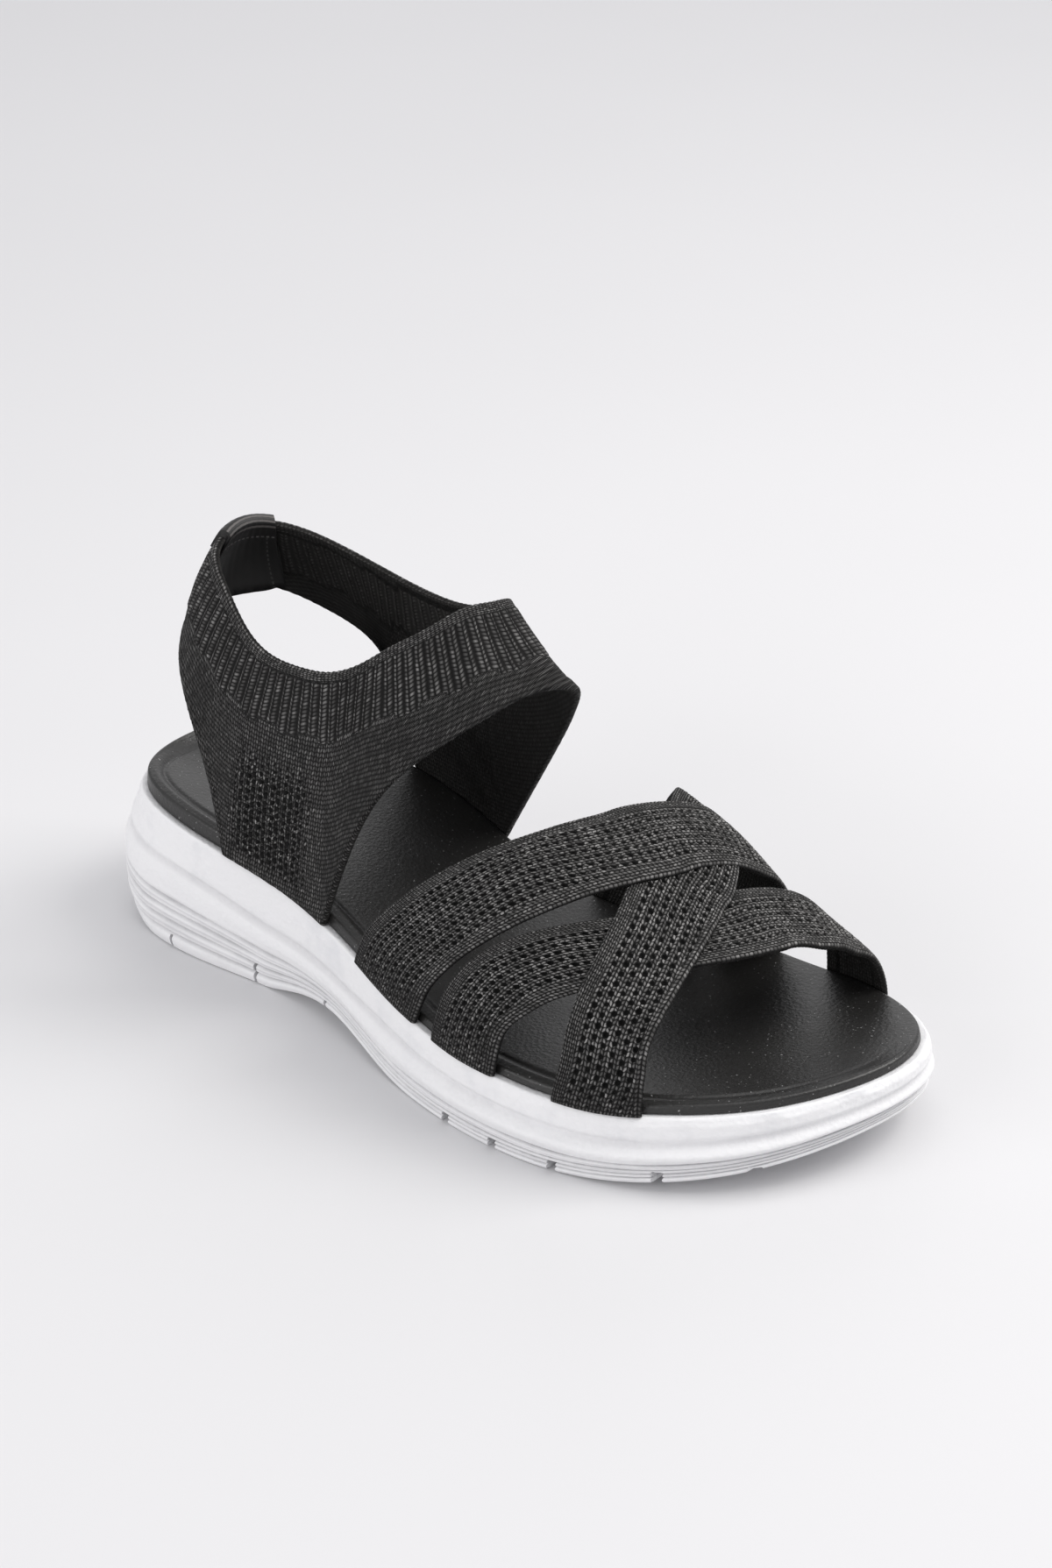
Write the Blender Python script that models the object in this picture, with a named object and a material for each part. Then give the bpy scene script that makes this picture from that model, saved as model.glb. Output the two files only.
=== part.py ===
"""Platform sandal, right shoe: moulded white sole, wrapped footbed, three crossing knitted straps over the
forefoot and a knitted ankle collar in one piece, with a folded patch at the back of its rim.

Metres, +Z up, +X from heel to toe, +Y to the medial side. The sandal stands on z = 0 and the origin is under
the middle of its outline. Lengths along the shoe in the tables are shares of SOLE_LENGTH from the heel.
"""
import math

import bmesh
import bpy
import numpy as np

# Sole: length and breadths of the lower edge
SOLE_LENGTH = 0.2595
BALL_WIDTH = 0.1066
HEEL_WIDTH = 0.0756

# Sole: heights above the floor of the seat that carries the footbed, and of the lower edge
HEEL_HEIGHT = 0.0430
WAIST_HEIGHT = 0.0280
FOREFOOT_HEIGHT = 0.0195
TOE_HEIGHT = 0.0255
HEEL_BEVEL = 0.0080
ARCH_LIFT = 0.0045
TOE_SPRING = 0.0131

# Sole: its side and tread
SIDE_FLARE = 0.0058
LIP = 0.0020
RIB_DEPTH = 0.0006
EDGE_ROUND = 0.0012
SIPE_WIDTH = 0.0011
GROOVE_WIDTH = 0.0026
GROOVE_DEPTH = 0.0030

# Footbed
FOOTBED_HEEL_THICKNESS = 0.0050
FOOTBED_TOE_THICKNESS = 0.0024
FOOTBED_RIM = 0.0012
FOOTBED_BOTTOM_ROUND = 0.0004
FOOTBED_LEAN = 0.0003
HEEL_CUP_DEPTH = 0.0032
FOREFOOT_DISH_DEPTH = 0.0012
CLEARANCE = 0.0003

# Forefoot straps and the last that they lie on
STRAP_THICKNESS = 0.0019
STRAP_CROWN = 0.0003
STRAP_OVERLAP = 0.0004
INSTEP_RISE = 0.0507
LAST_SIDE_POWER = 2.6
LAST_MEDIAL_POWER = 2.8
LAST_RIDGE = 0.55
STRAP_SEAT_CLEARANCE = 0.0002

# Ankle collar
COLLAR_HEIGHT = 0.0860
COLLAR_WIDTH = 0.0600
COLLAR_WALL = 0.0020
COLLAR_BELLY = 0.0018
COLLAR_EDGE = 0.0006

# Folded patch over the back of the collar's rim
PATCH_WALL = 0.0008
PATCH_WIDTH = 0.0200
PATCH_OUTER_DROP = 0.0050
PATCH_TAIL = 0.0010

# Mesh steps
HALF_COLUMNS = 54
STRAP_STEPS = 26
COLLAR_STEPS = 3
COLLAR_LEVELS = 8
PATCH_STEPS = 8

# Outline of the footbed: half breadths on both sides as shares of BALL_WIDTH
OUTLINE_COLUMNS = ("along", "lateral", "medial")
OUTLINE = (
    (0.038, 0.199, 0.241),
    (0.110, 0.277, 0.341),
    (0.200, 0.295, 0.375),
    (0.320, 0.308, 0.361),
    (0.430, 0.381, 0.304),
    (0.530, 0.457, 0.298),
    (0.620, 0.499, 0.356),
    (0.710, 0.503, 0.398),
    (0.790, 0.460, 0.400),
    (0.870, 0.358, 0.376),
    (0.932, 0.212, 0.310),
    (0.968, 0.056, 0.220),
)
HEEL_APEX = (0.0125, 0.020)
TOE_APEX = (0.9815, 0.095)
HEEL_SHARE_OF_BALL = 0.709

# The side of the sole, a row for each line from the lower edge up. Its heights are shares of the way from the
# lower edge to the seat and its reaches outside the footbed's outline are shares of SIDE_FLARE, both given at
# STATIONS, shares of the footbed's length.
STATIONS = (0.00, 0.12, 0.26, 0.38, 0.52, 0.66, 0.90, 1.00)
SIDE_LINES = (
    ("lower edge",
     (0.00, 0.00, 0.00, 0.00, 0.00, 0.00, 0.00, 0.00),
     (0.96, 0.83, 0.53, 0.41, 0.63, 0.71, 0.61, 0.33)),
    ("rib one",
     (0.06, 0.07, 0.06, 0.05, 0.05, 0.05, 0.06, 0.06),
     (1.17, 0.95, 0.63, 0.49, 0.71, 0.79, 0.70, 0.41)),
    ("groove one",
     (0.11, 0.12, 0.10, 0.08, 0.08, 0.08, 0.09, 0.09),
     (1.31, 0.97, 0.64, 0.50, 0.72, 0.80, 0.71, 0.42)),
    ("rib two",
     (0.16, 0.17, 0.14, 0.11, 0.11, 0.11, 0.12, 0.12),
     (1.41, 0.99, 0.66, 0.51, 0.73, 0.81, 0.72, 0.43)),
    ("groove two",
     (0.21, 0.22, 0.18, 0.13, 0.14, 0.14, 0.15, 0.15),
     (1.47, 1.00, 0.67, 0.51, 0.73, 0.81, 0.73, 0.44)),
    ("rib three",
     (0.26, 0.27, 0.22, 0.16, 0.17, 0.17, 0.18, 0.18),
     (1.50, 1.01, 0.68, 0.52, 0.73, 0.81, 0.73, 0.45)),
    ("groove three",
     (0.31, 0.32, 0.26, 0.18, 0.20, 0.20, 0.21, 0.21),
     (1.51, 1.01, 0.69, 0.52, 0.73, 0.81, 0.73, 0.45)),
    ("rib four",
     (0.36, 0.37, 0.30, 0.21, 0.23, 0.24, 0.24, 0.24),
     (1.50, 1.00, 0.69, 0.53, 0.72, 0.80, 0.73, 0.45)),
    ("step",
     (0.41, 0.41, 0.34, 0.24, 0.27, 0.29, 0.28, 0.28),
     (1.47, 0.97, 0.68, 0.52, 0.68, 0.73, 0.67, 0.41)),
    ("ridge foot",
     (0.46, 0.46, 0.39, 0.27, 0.30, 0.33, 0.31, 0.31),
     (1.43, 0.95, 0.68, 0.53, 0.67, 0.73, 0.68, 0.43)),
    ("ridge",
     (0.56, 0.56, 0.46, 0.36, 0.42, 0.46, 0.42, 0.40),
     (1.27, 0.75, 0.57, 0.51, 0.61, 0.73, 0.75, 0.51)),
    ("crease",
     (0.68, 0.69, 0.58, 0.50, 0.60, 0.61, 0.60, 0.60),
     (1.07, 0.73, 0.57, 0.53, 0.43, 0.43, 0.51, 0.47)),
    ("band foot",
     (0.76, 0.76, 0.70, 0.66, 0.70, 0.71, 0.72, 0.72),
     (0.87, 0.61, 0.47, 0.43, 0.41, 0.45, 0.51, 0.47)),
    ("band",
     (0.88, 0.88, 0.86, 0.85, 0.86, 0.86, 0.87, 0.87),
     (0.55, 0.43, 0.39, 0.37, 0.38, 0.41, 0.45, 0.44)),
    ("lip",
     (0.975, 0.975, 0.975, 0.97, 0.97, 0.97, 0.97, 0.97),
     (0.36, 0.35, 0.34, 0.34, 0.34, 0.35, 0.36, 0.36)),
)
GROOVES = ("groove one", "groove two", "groove three", "step")

# Height of the seat that carries the footbed, as shares of the four heights above
SEAT_COLUMNS = ("along", "heel", "waist", "forefoot", "toe")
SEAT = (
    (0.00, 1.00, 0.00, 0.00, 0.00),
    (0.19, 0.72, 0.21, 0.00, 0.00),
    (0.40, 0.00, 1.00, 0.00, 0.00),
    (0.62, 0.00, 0.02, 1.00, 0.00),
    (0.76, 0.00, 0.00, 1.00, 0.00),
    (0.88, 0.00, 0.00, 0.65, 0.35),
    (1.00, 0.00, 0.00, 0.00, 1.00),
)

# Where the lower edge lies flat on the floor, under the heel and under the ball
HEEL_FLAT = (0.085, 0.265)
BALL_FLAT = (0.545, 0.710)
LOWER_END = 0.995

# Grooves across the tread: name, share along, width, and depth up from the floor in GROOVE_DEPTHs
TREAD = (
    ("heel sipe", 0.120, SIPE_WIDTH, 1.40),
    ("heel groove", 0.250, SIPE_WIDTH, 2.07),
    ("waist sipe", 0.365, SIPE_WIDTH, 2.27),
    ("joint groove", 0.598, GROOVE_WIDTH, 1.00),
    ("ball groove", 0.665, GROOVE_WIDTH, 1.00),
    ("front groove", 0.738, GROOVE_WIDTH, 1.07),
    ("toe groove", 0.842, GROOVE_WIDTH, 2.00),
    ("tip groove", 0.918, GROOVE_WIDTH, 2.60),
)

# Depth of the footbed's dish, as shares of HEEL_CUP_DEPTH and of FOREFOOT_DISH_DEPTH
DISH_COLUMNS = ("along", "heel cup", "forefoot dish")
DISH = (
    (0.00, 0.60, 0.00),
    (0.10, 1.00, 0.00),
    (0.30, 0.70, 0.00),
    (0.50, 0.00, 1.00),
    (0.75, 0.00, 1.00),
    (1.00, 0.00, 0.50),
)

# Height of the last above the seat, as a share of INSTEP_RISE
LAST_COLUMNS = ("along", "rise")
LAST = (
    (0.36, 0.97),
    (0.46, 0.96),
    (0.54, 0.99),
    (0.62, 1.01),
    (0.69, 0.93),
    (0.77, 0.75),
    (0.83, 0.645),
    (0.89, 0.57),
    (0.96, 0.40),
)

# Straps: at shares of the way over from the lateral to the medial side, the rear and front edge as shares
# along, the layers of strap that lie beneath, and how many layers the front edge dips
STRAP_COLUMNS = ("over", "rear", "front", "layers", "dip")
STRAPS = {
    "rear_strap": (
        (0.00, 0.427, 0.540, 0.0, 0.0),
        (0.08, 0.447, 0.559, 0.0, 0.0),
        (0.16, 0.480, 0.592, 0.1, 0.0),
        (0.25, 0.521, 0.640, 0.6, 0.0),
        (0.34, 0.567, 0.682, 1.7, 0.0),
        (0.45, 0.622, 0.721, 2.2, 0.0),
        (0.55, 0.654, 0.748, 2.7, 1.0),
        (0.66, 0.675, 0.768, 3.6, 3.2),
        (0.78, 0.683, 0.774, 1.9, 3.2),
        (0.90, 0.660, 0.757, 0.1, 1.2),
        (1.00, 0.642, 0.735, 0.0, 0.0),
    ),
    "cross_strap": (
        (0.00, 0.730, 0.822, 0.0, 0.0),
        (0.10, 0.738, 0.820, 0.5, 0.0),
        (0.18, 0.736, 0.816, 1.0, 0.0),
        (0.27, 0.734, 0.816, 1.1, 0.0),
        (0.36, 0.726, 0.812, 1.1, 0.0),
        (0.46, 0.705, 0.797, 1.1, 0.0),
        (0.55, 0.674, 0.764, 1.6, 0.6),
        (0.62, 0.653, 0.738, 2.9, 2.1),
        (0.68, 0.637, 0.718, 4.6, 3.1),
        (0.74, 0.617, 0.697, 4.4, 2.2),
        (0.82, 0.585, 0.674, 2.2, 0.6),
        (0.90, 0.541, 0.652, 0.4, 0.0),
        (1.00, 0.514, 0.638, 0.0, 0.0),
    ),
    "front_strap": (
        (0.00, 0.568, 0.660, 0.0, 0.0),
        (0.08, 0.580, 0.668, 0.0, 0.0),
        (0.16, 0.604, 0.700, 0.0, 0.0),
        (0.25, 0.652, 0.748, 0.0, 0.0),
        (0.36, 0.716, 0.804, 0.0, 0.0),
        (0.47, 0.757, 0.847, 0.0, 0.9),
        (0.58, 0.782, 0.870, 0.0, 3.8),
        (0.70, 0.797, 0.881, 0.0, 4.0),
        (0.82, 0.803, 0.886, 0.0, 2.2),
        (1.00, 0.801, 0.884, 0.0, 0.0),
    ),
}

# Section of a strap: share across it and how much of its thickness stands there
STRAP_SECTION = ((0.00, 0.35), (0.05, 0.86), (0.20, 1.0), (0.50, 1.0), (0.80, 1.0), (0.95, 0.86), (1.00, 0.35))

# Ankle collar, a row for each section round it from the back over the lateral side: the rim's place, then the
# hem's, as shares along, across (of half COLLAR_WIDTH) and up (of COLLAR_HEIGHT over the heel's seat), and how
# much of COLLAR_BELLY the wall swells out between them. A hem marked "sole" stands on the seat beside the
# footbed's wall.
COLLAR_COLUMNS = ("rim along", "rim across", "rim up", "hem along", "hem across", "hem up", "hem end", "belly")
COLLAR = (
    (0.1254, 0.07, 0.923, 0.1061, 0.03, 0.675, "air", 1.0),
    (0.1428, -0.47, 0.890, 0.1003, -0.57, 0.576, "air", 1.0),
    (0.1795, -0.70, 0.834, 0.1303, -0.87, 0.440, "air", 1.0),
    (0.2297, -0.85, 0.720, 0.1767, -1.02, 0.197, "air", 1.0),
    (0.2665, -0.92, 0.687, 0.2050, -1.05, None, "sole", 1.0),
    (0.3120, -0.94, 0.683, 0.2850, -1.10, None, "sole", 1.0),
    (0.3506, -0.92, 0.697, 0.3640, -1.20, None, "sole", 0.8),
    (0.3853, -0.83, 0.744, 0.3910, -1.20, 0.081, "air", 0.5),
    (0.4123, -0.72, 0.806, 0.4410, -1.05, 0.384, "air", 0.2),
    (0.4470, -0.52, 0.880, 0.4874, -0.75, 0.538, "air", 0.0),
    (0.4661, -0.23, 0.928, 0.5193, -0.35, 0.625, "air", -0.4),
    (0.4698, 0.07, 0.915, 0.5355, 0.07, 0.657, "air", -0.8),
    (0.4668, 0.30, 0.895, 0.5518, 0.40, 0.643, "air", -0.8),
    (0.4408, 0.63, 0.829, 0.5316, 0.68, 0.527, "air", -0.4),
    (0.4063, 0.87, 0.761, 0.4919, 0.92, 0.360, "air", 0.0),
    (0.3669, 0.97, 0.715, 0.4312, 1.12, 0.081, "air", 0.4),
    (0.3313, 1.00, 0.697, 0.3820, 1.22, None, "sole", 0.8),
    (0.2927, 1.00, 0.703, 0.3200, 1.27, None, "sole", 1.0),
    (0.2580, 0.98, 0.723, 0.2340, 1.30, None, "sole", 1.0),
    (0.2270, 0.92, 0.756, 0.2283, 1.17, 0.178, "air", 1.0),
    (0.1923, 0.80, 0.804, 0.2110, 1.03, 0.438, "air", 1.0),
    (0.1536, 0.50, 0.882, 0.1575, 0.80, 0.559, "air", 1.0),
)


def column(table, names, name):
    """One named column of a table."""
    place = names.index(name)
    return [row[place] for row in table]


def clear_scene():
    for thing in list(bpy.data.objects):
        bpy.data.objects.remove(thing)


def spline_second_slopes(steps, values, closed):
    """Second slopes of a cubic spline through values at knots that lie steps apart."""
    count = len(values)
    system = np.zeros((count, count))
    right = np.zeros(values.shape)
    for k in range(count):
        if not closed and k in (0, count - 1):
            system[k, k] = 1.0
            continue
        before = steps[k - 1]
        after = steps[k]
        system[k, k - 1] += before
        system[k, k] += 2 * (before + after)
        system[k, (k + 1) % count] += after
        rise_after = (values[(k + 1) % count] - values[k]) / after
        rise_before = (values[k] - values[k - 1]) / before
        right[k] = 6 * (rise_after - rise_before)
    return np.linalg.solve(system, right)


def spline(points, per_span, closed):
    """Smooth curve through points, with per_span samples on each span between neighbours."""
    values = np.array(points, dtype=float)
    count = len(values)
    spans = count if closed else count - 1
    steps = [float(np.linalg.norm(values[(k + 1) % count] - values[k])) for k in range(spans)]
    second = spline_second_slopes(steps, values, closed)
    out = []
    for k in range(spans):
        nxt = (k + 1) % count
        step = steps[k]
        for i in range(per_span):
            right_share = i / per_span
            left_share = 1 - right_share
            bend_left = (left_share ** 3 - left_share) * step * step / 6
            bend_right = (right_share ** 3 - right_share) * step * step / 6
            out.append(left_share * values[k] + right_share * values[nxt]
                       + bend_left * second[k] + bend_right * second[nxt])
    if not closed:
        out.append(values[-1])
    return np.array(out)


def ease(xs, ys, x):
    """Value at x of a smooth curve through (xs, ys) that never overshoots them."""
    xs = np.asarray(xs, dtype=float)
    ys = np.asarray(ys, dtype=float)
    rise = np.diff(ys) / np.diff(xs)
    slope = np.zeros(len(xs))
    slope[0] = rise[0]
    slope[-1] = rise[-1]
    for k in range(1, len(xs) - 1):
        if rise[k - 1] * rise[k] > 0:
            slope[k] = 2 * rise[k - 1] * rise[k] / (rise[k - 1] + rise[k])
    x = min(max(float(x), xs[0]), xs[-1])
    k = min(int(np.searchsorted(xs, x, side="right")) - 1, len(xs) - 2)
    width = xs[k + 1] - xs[k]
    t = (x - xs[k]) / width
    hermite = ((1 + 2 * t) * (1 - t) ** 2, t * (1 - t) ** 2, t * t * (3 - 2 * t), t * t * (t - 1))
    return (hermite[0] * ys[k] + hermite[1] * width * slope[k]
            + hermite[2] * ys[k + 1] + hermite[3] * width * slope[k + 1])


def smooth_step(low, high, x):
    t = min(max((x - low) / (high - low), 0.0), 1.0)
    return t * t * (3 - 2 * t)


def footbed_outline():
    """Outline of the footbed: HALF_COLUMNS stations a side, the two sides paired at the same length."""
    along = column(OUTLINE, OUTLINE_COLUMNS, "along")
    sides = [column(OUTLINE, OUTLINE_COLUMNS, name) for name in ("lateral", "medial")]
    lateral = [(x * SOLE_LENGTH, -y * BALL_WIDTH) for x, y in zip(along, sides[0])]
    medial = [(x * SOLE_LENGTH, y * BALL_WIDTH) for x, y in zip(along, sides[1])]
    heel = (HEEL_APEX[0] * SOLE_LENGTH, HEEL_APEX[1] * BALL_WIDTH)
    toe = (TOE_APEX[0] * SOLE_LENGTH, TOE_APEX[1] * BALL_WIDTH)
    loop = [heel] + lateral + [toe] + medial[::-1]
    dense = spline(loop, 24, True)
    heel_width_scale = HEEL_WIDTH / (BALL_WIDTH * HEEL_SHARE_OF_BALL)
    for point in dense:
        share = 1 - smooth_step(0.30, 0.50, point[0] / SOLE_LENGTH)
        point[1] *= 1 + (heel_width_scale - 1) * share
    first = int(np.argmin(dense[:, 0]))
    dense = np.roll(dense, -first, axis=0)
    last = int(np.argmax(dense[:, 0]))
    sides = (dense[:last + 1], np.vstack([dense[last:], dense[:1]])[::-1])
    start = dense[0, 0]
    end = dense[last, 0]
    places = [start + (end - start) * (1 - math.cos(math.pi * k / HALF_COLUMNS)) / 2
              for k in range(HALF_COLUMNS + 1)]
    near = [(x, float(np.interp(x, sides[0][:, 0], sides[0][:, 1]))) for x in places]
    far = [(x, float(np.interp(x, sides[1][:, 0], sides[1][:, 1]))) for x in places]
    return np.array(near + far[-2:0:-1])


def outward(outline):
    """Unit normals of a closed outline that runs round anticlockwise."""
    along = np.roll(outline, -1, axis=0) - np.roll(outline, 1, axis=0)
    normal = np.stack([along[:, 1], -along[:, 0]], axis=1)
    return normal / np.linalg.norm(normal, axis=1)[:, None]


BED = footbed_outline()
BED_NORMAL = outward(BED)
HEEL_X = float(BED[:, 0].min())
TOE_X = float(BED[:, 0].max())
COLUMNS = len(BED)


def seat_height(x):
    """Height of the seat that carries the footbed."""
    sizes = (("heel", HEEL_HEIGHT), ("waist", WAIST_HEIGHT), ("forefoot", FOREFOOT_HEIGHT), ("toe", TOE_HEIGHT))
    heights = sum(np.array(column(SEAT, SEAT_COLUMNS, name)) * size for name, size in sizes)
    return ease(column(SEAT, SEAT_COLUMNS, "along"), heights, x / SOLE_LENGTH)


def lower_height(x):
    """Height of the lower edge: bevelled heel, flat heel, lifted arch, flat forefoot, toe spring."""
    share = x / SOLE_LENGTH
    if share < HEEL_FLAT[0]:
        heel_back = (HEEL_X - SIDE_FLARE) / SOLE_LENGTH
        back = min((HEEL_FLAT[0] - share) / (HEEL_FLAT[0] - heel_back), 1.0)
        return HEEL_BEVEL * back ** 1.7
    if share <= HEEL_FLAT[1]:
        return 0.0
    if share < BALL_FLAT[0]:
        middle = (share - HEEL_FLAT[1]) / (BALL_FLAT[0] - HEEL_FLAT[1])
        return ARCH_LIFT * math.sin(math.pi * middle ** 0.72) ** 2
    if share <= BALL_FLAT[1]:
        return 0.0
    front = min((share - BALL_FLAT[1]) / (LOWER_END - BALL_FLAT[1]), 1.0)
    return TOE_SPRING * front ** 2.1


def footbed_thickness(x):
    share = ease((0.0, 0.10, 0.60, 1.0), (1.0, 1.0, 0.0, 0.0), x / SOLE_LENGTH)
    return FOOTBED_TOE_THICKNESS + share * (FOOTBED_HEEL_THICKNESS - FOOTBED_TOE_THICKNESS)


def set_off(offset):
    """The footbed's outline moved outward by offset, one value or one for each column."""
    return BED + BED_NORMAL * np.broadcast_to(np.asarray(offset, dtype=float).reshape(-1, 1), (COLUMNS, 1))


def side_line(row):
    """One closed ring of the sole's side from its row in SIDE_LINES."""
    name, heights, reaches = row
    groove = RIB_DEPTH if name in GROOVES else 0.0
    reach = []
    height = []
    for x, _ in BED:
        share = (x - HEEL_X) / (TOE_X - HEEL_X)
        reach.append(SIDE_FLARE * ease(STATIONS, reaches, share) - groove)
        height.append(ease(STATIONS, heights, share))
    flat = set_off(reach)
    ring = []
    for (x, y), up in zip(flat, height):
        low = lower_height(x)
        ring.append((x, y, low + up * (seat_height(x) - low)))
    return ring


def flat_ring(offset, height_of):
    return [(x, y, height_of(x)) for x, y in set_off(offset)]


class Shell:
    """A closed mesh built from rings and grids of points."""

    def __init__(self):
        self.points = []
        self.faces = []

    def add(self, ring):
        start = len(self.points)
        self.points.extend(tuple(float(c) for c in p) for p in ring)
        return list(range(start, start + len(ring)))

    def band(self, low, high):
        """Quads between two closed rings, low one first, facing outward when they run anticlockwise."""
        count = len(low)
        for k in range(count):
            nxt = (k + 1) % count
            self.faces.append((low[k], low[nxt], high[nxt], high[k]))

    def strips(self, ring, upward):
        """Close a ring whose two sides are paired by strips straight across."""
        half = len(ring) // 2
        near = ring[:half + 1]
        far = [ring[0]] + ring[:half - 1:-1]
        for k in range(half):
            face = [near[k], near[k + 1], far[k + 1], far[k]]
            face = [v for i, v in enumerate(face) if v not in face[:i]]
            self.faces.append(tuple(face if upward else face[::-1]))

    def to_object(self, name, material, sharp_degrees):
        mesh = bpy.data.meshes.new(name)
        moved = [(x - ORIGIN[0], y - ORIGIN[1], z) for x, y, z in self.points]
        mesh.from_pydata(moved, [], self.faces)
        form = bmesh.new()
        form.from_mesh(mesh)
        bmesh.ops.recalc_face_normals(form, faces=form.faces)
        form.to_mesh(mesh)
        form.free()
        mesh.shade_smooth()
        mesh.set_sharp_from_angle(angle=math.radians(sharp_degrees))
        mesh.materials.append(material)
        thing = bpy.data.objects.new(name, mesh)
        bpy.context.scene.collection.objects.link(thing)
        return thing


def material(name, colour, roughness):
    made = bpy.data.materials.new(name)
    made.use_nodes = True
    shader = made.node_tree.nodes["Principled BSDF"]
    shader.inputs["Base Color"].default_value = (*colour, 1.0)
    shader.inputs["Roughness"].default_value = roughness
    shader.inputs["Metallic"].default_value = 0.0
    return made


def part_origin():
    """Middle of the whole outline, seen from above."""
    rings = np.array([point for row in SIDE_LINES for point in side_line(row)])
    low = rings.min(axis=0)
    high = rings.max(axis=0)
    return ((low[0] + high[0]) / 2, (low[1] + high[1]) / 2)


ORIGIN = part_origin()


def make_sole(finish):
    """Moulded unit: rounded tread edge, ribbed fan and step on the side, soft ridge, lip and seat."""
    shell = Shell()
    lower = side_line(SIDE_LINES[0])
    inner = [(x, y, lower_height(x)) for x, y, _ in
             ((p[0] - n[0] * EDGE_ROUND, p[1] - n[1] * EDGE_ROUND, 0) for p, n in zip(lower, BED_NORMAL))]
    raised = [(x, y, z + EDGE_ROUND * 0.7) for x, y, z in lower]
    rings = [inner, raised] + [side_line(row) for row in SIDE_LINES[1:]]
    rings.append(flat_ring(LIP * 0.75, seat_height))
    ids = [shell.add(ring) for ring in rings]
    for low, high in zip(ids, ids[1:]):
        shell.band(low, high)
    shell.strips(ids[0], upward=False)
    shell.strips(ids[-1], upward=True)
    sole = shell.to_object("sole", finish, 50)
    for name, along, width, depth in TREAD:
        cut_groove(sole, name, along * SOLE_LENGTH - ORIGIN[0], width, depth * GROOVE_DEPTH)
    return sole


def cut_groove(sole, name, x, width, depth):
    """A straight groove across the tread, open on both sides of the sole."""
    bpy.ops.mesh.primitive_cube_add(size=1.0, location=(x, 0.0, 0.0))
    cutter = bpy.context.active_object
    cutter.name = "cutter_" + name.replace(" ", "_")
    cutter.scale = (width, BALL_WIDTH * 1.6, depth * 2)
    bpy.context.view_layer.update()
    cutter.hide_render = True
    cutter.display_type = "WIRE"
    cut = sole.modifiers.new(name, "BOOLEAN")
    cut.operation = "DIFFERENCE"
    cut.object = cutter


def dish_depth(x):
    sizes = (("heel cup", HEEL_CUP_DEPTH), ("forefoot dish", FOREFOOT_DISH_DEPTH))
    depths = sum(np.array(column(DISH, DISH_COLUMNS, name)) * size for name, size in sizes)
    return ease(column(DISH, DISH_COLUMNS, "along"), depths, x / SOLE_LENGTH)


def make_footbed(finish):
    """Wrapped insole: upright wall, rounded rim, shallow dish deeper at the heel."""
    shell = Shell()

    def top_at(drop):
        return lambda x: seat_height(x) + CLEARANCE + footbed_thickness(x) - drop

    def bottom(x):
        return seat_height(x) + CLEARANCE

    rings = [flat_ring(-FOOTBED_BOTTOM_ROUND, bottom)]
    rings.append(flat_ring(0.0, lambda x: bottom(x) + FOOTBED_BOTTOM_ROUND))
    rings.append(flat_ring(-FOOTBED_LEAN, top_at(FOOTBED_RIM * 1.3)))
    for turn in (35, 65, 100):
        angle = math.radians(turn)
        inset = FOOTBED_LEAN + FOOTBED_RIM * (1 - math.cos(angle))
        rings.append(flat_ring(-inset, top_at(FOOTBED_RIM * (1 - math.sin(angle)))))
    ids = [shell.add(ring) for ring in rings]
    for low, high in zip(ids, ids[1:]):
        shell.band(low, high)
    shell.strips(ids[0], upward=False)
    last = ids[-1]
    half = COLUMNS // 2
    near = last[:half + 1]
    far = [last[0]] + last[:half - 1:-1]
    shares = (0.05, 0.14, 0.30, 0.50, 0.70, 0.86, 0.95)
    rows = [[near[0]]]
    for k in range(1, half):
        start = np.array(shell.points[near[k]])
        end = np.array(shell.points[far[k]])
        fade = min(1.0, abs(end[1] - start[1]) / (0.45 * HEEL_WIDTH))
        row = [near[k]]
        for share in shares:
            x, y, z = start + (end - start) * share
            z -= dish_depth(x) * fade * (1 - (2 * share - 1) ** 2) ** 1.5
            row += shell.add([(x, y, z)])
        rows.append(row + [far[k]])
    rows.append([near[-1]])
    for back, front in zip(rows, rows[1:]):
        if len(back) == 1:
            shell.faces.extend((back[0], front[i], front[i + 1]) for i in range(len(front) - 1))
        elif len(front) == 1:
            shell.faces.extend((back[i], front[0], back[i + 1]) for i in range(len(back) - 1))
        else:
            shell.faces.extend((back[i], front[i], front[i + 1], back[i + 1]) for i in range(len(back) - 1))
    return shell.to_object("footbed", finish, 40)


def wall_y(x, side, offset):
    """Across, the footbed's wall at x moved outward by offset. side is -1 lateral, 1 medial."""
    ring = set_off(offset)
    half = COLUMNS // 2
    part = ring[:half + 1] if side < 0 else np.vstack([ring[half:], ring[:1]])[::-1]
    return float(np.interp(x, part[:, 0], part[:, 1]))


def last_point(over, x):
    """Point on the last at length x and a share over from the lateral to the medial side."""
    stand = CLEARANCE + STRAP_SEAT_CLEARANCE + STRAP_THICKNESS / 2
    lateral = wall_y(x, -1, stand)
    medial = wall_y(x, 1, stand)
    ridge = lateral + LAST_RIDGE * (medial - lateral)
    angle = math.pi * over
    power = LAST_SIDE_POWER if over < 0.5 else LAST_MEDIAL_POWER
    reach = abs(math.cos(angle)) ** (2 / power)
    y = ridge + reach * ((lateral - ridge) if over < 0.5 else (medial - ridge))
    shares = column(LAST, LAST_COLUMNS, "along")
    rise = INSTEP_RISE * ease(shares, column(LAST, LAST_COLUMNS, "rise"), x / SOLE_LENGTH)
    return np.array((x, y, seat_height(x) + CLEARANCE + rise * math.sin(angle)))


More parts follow.
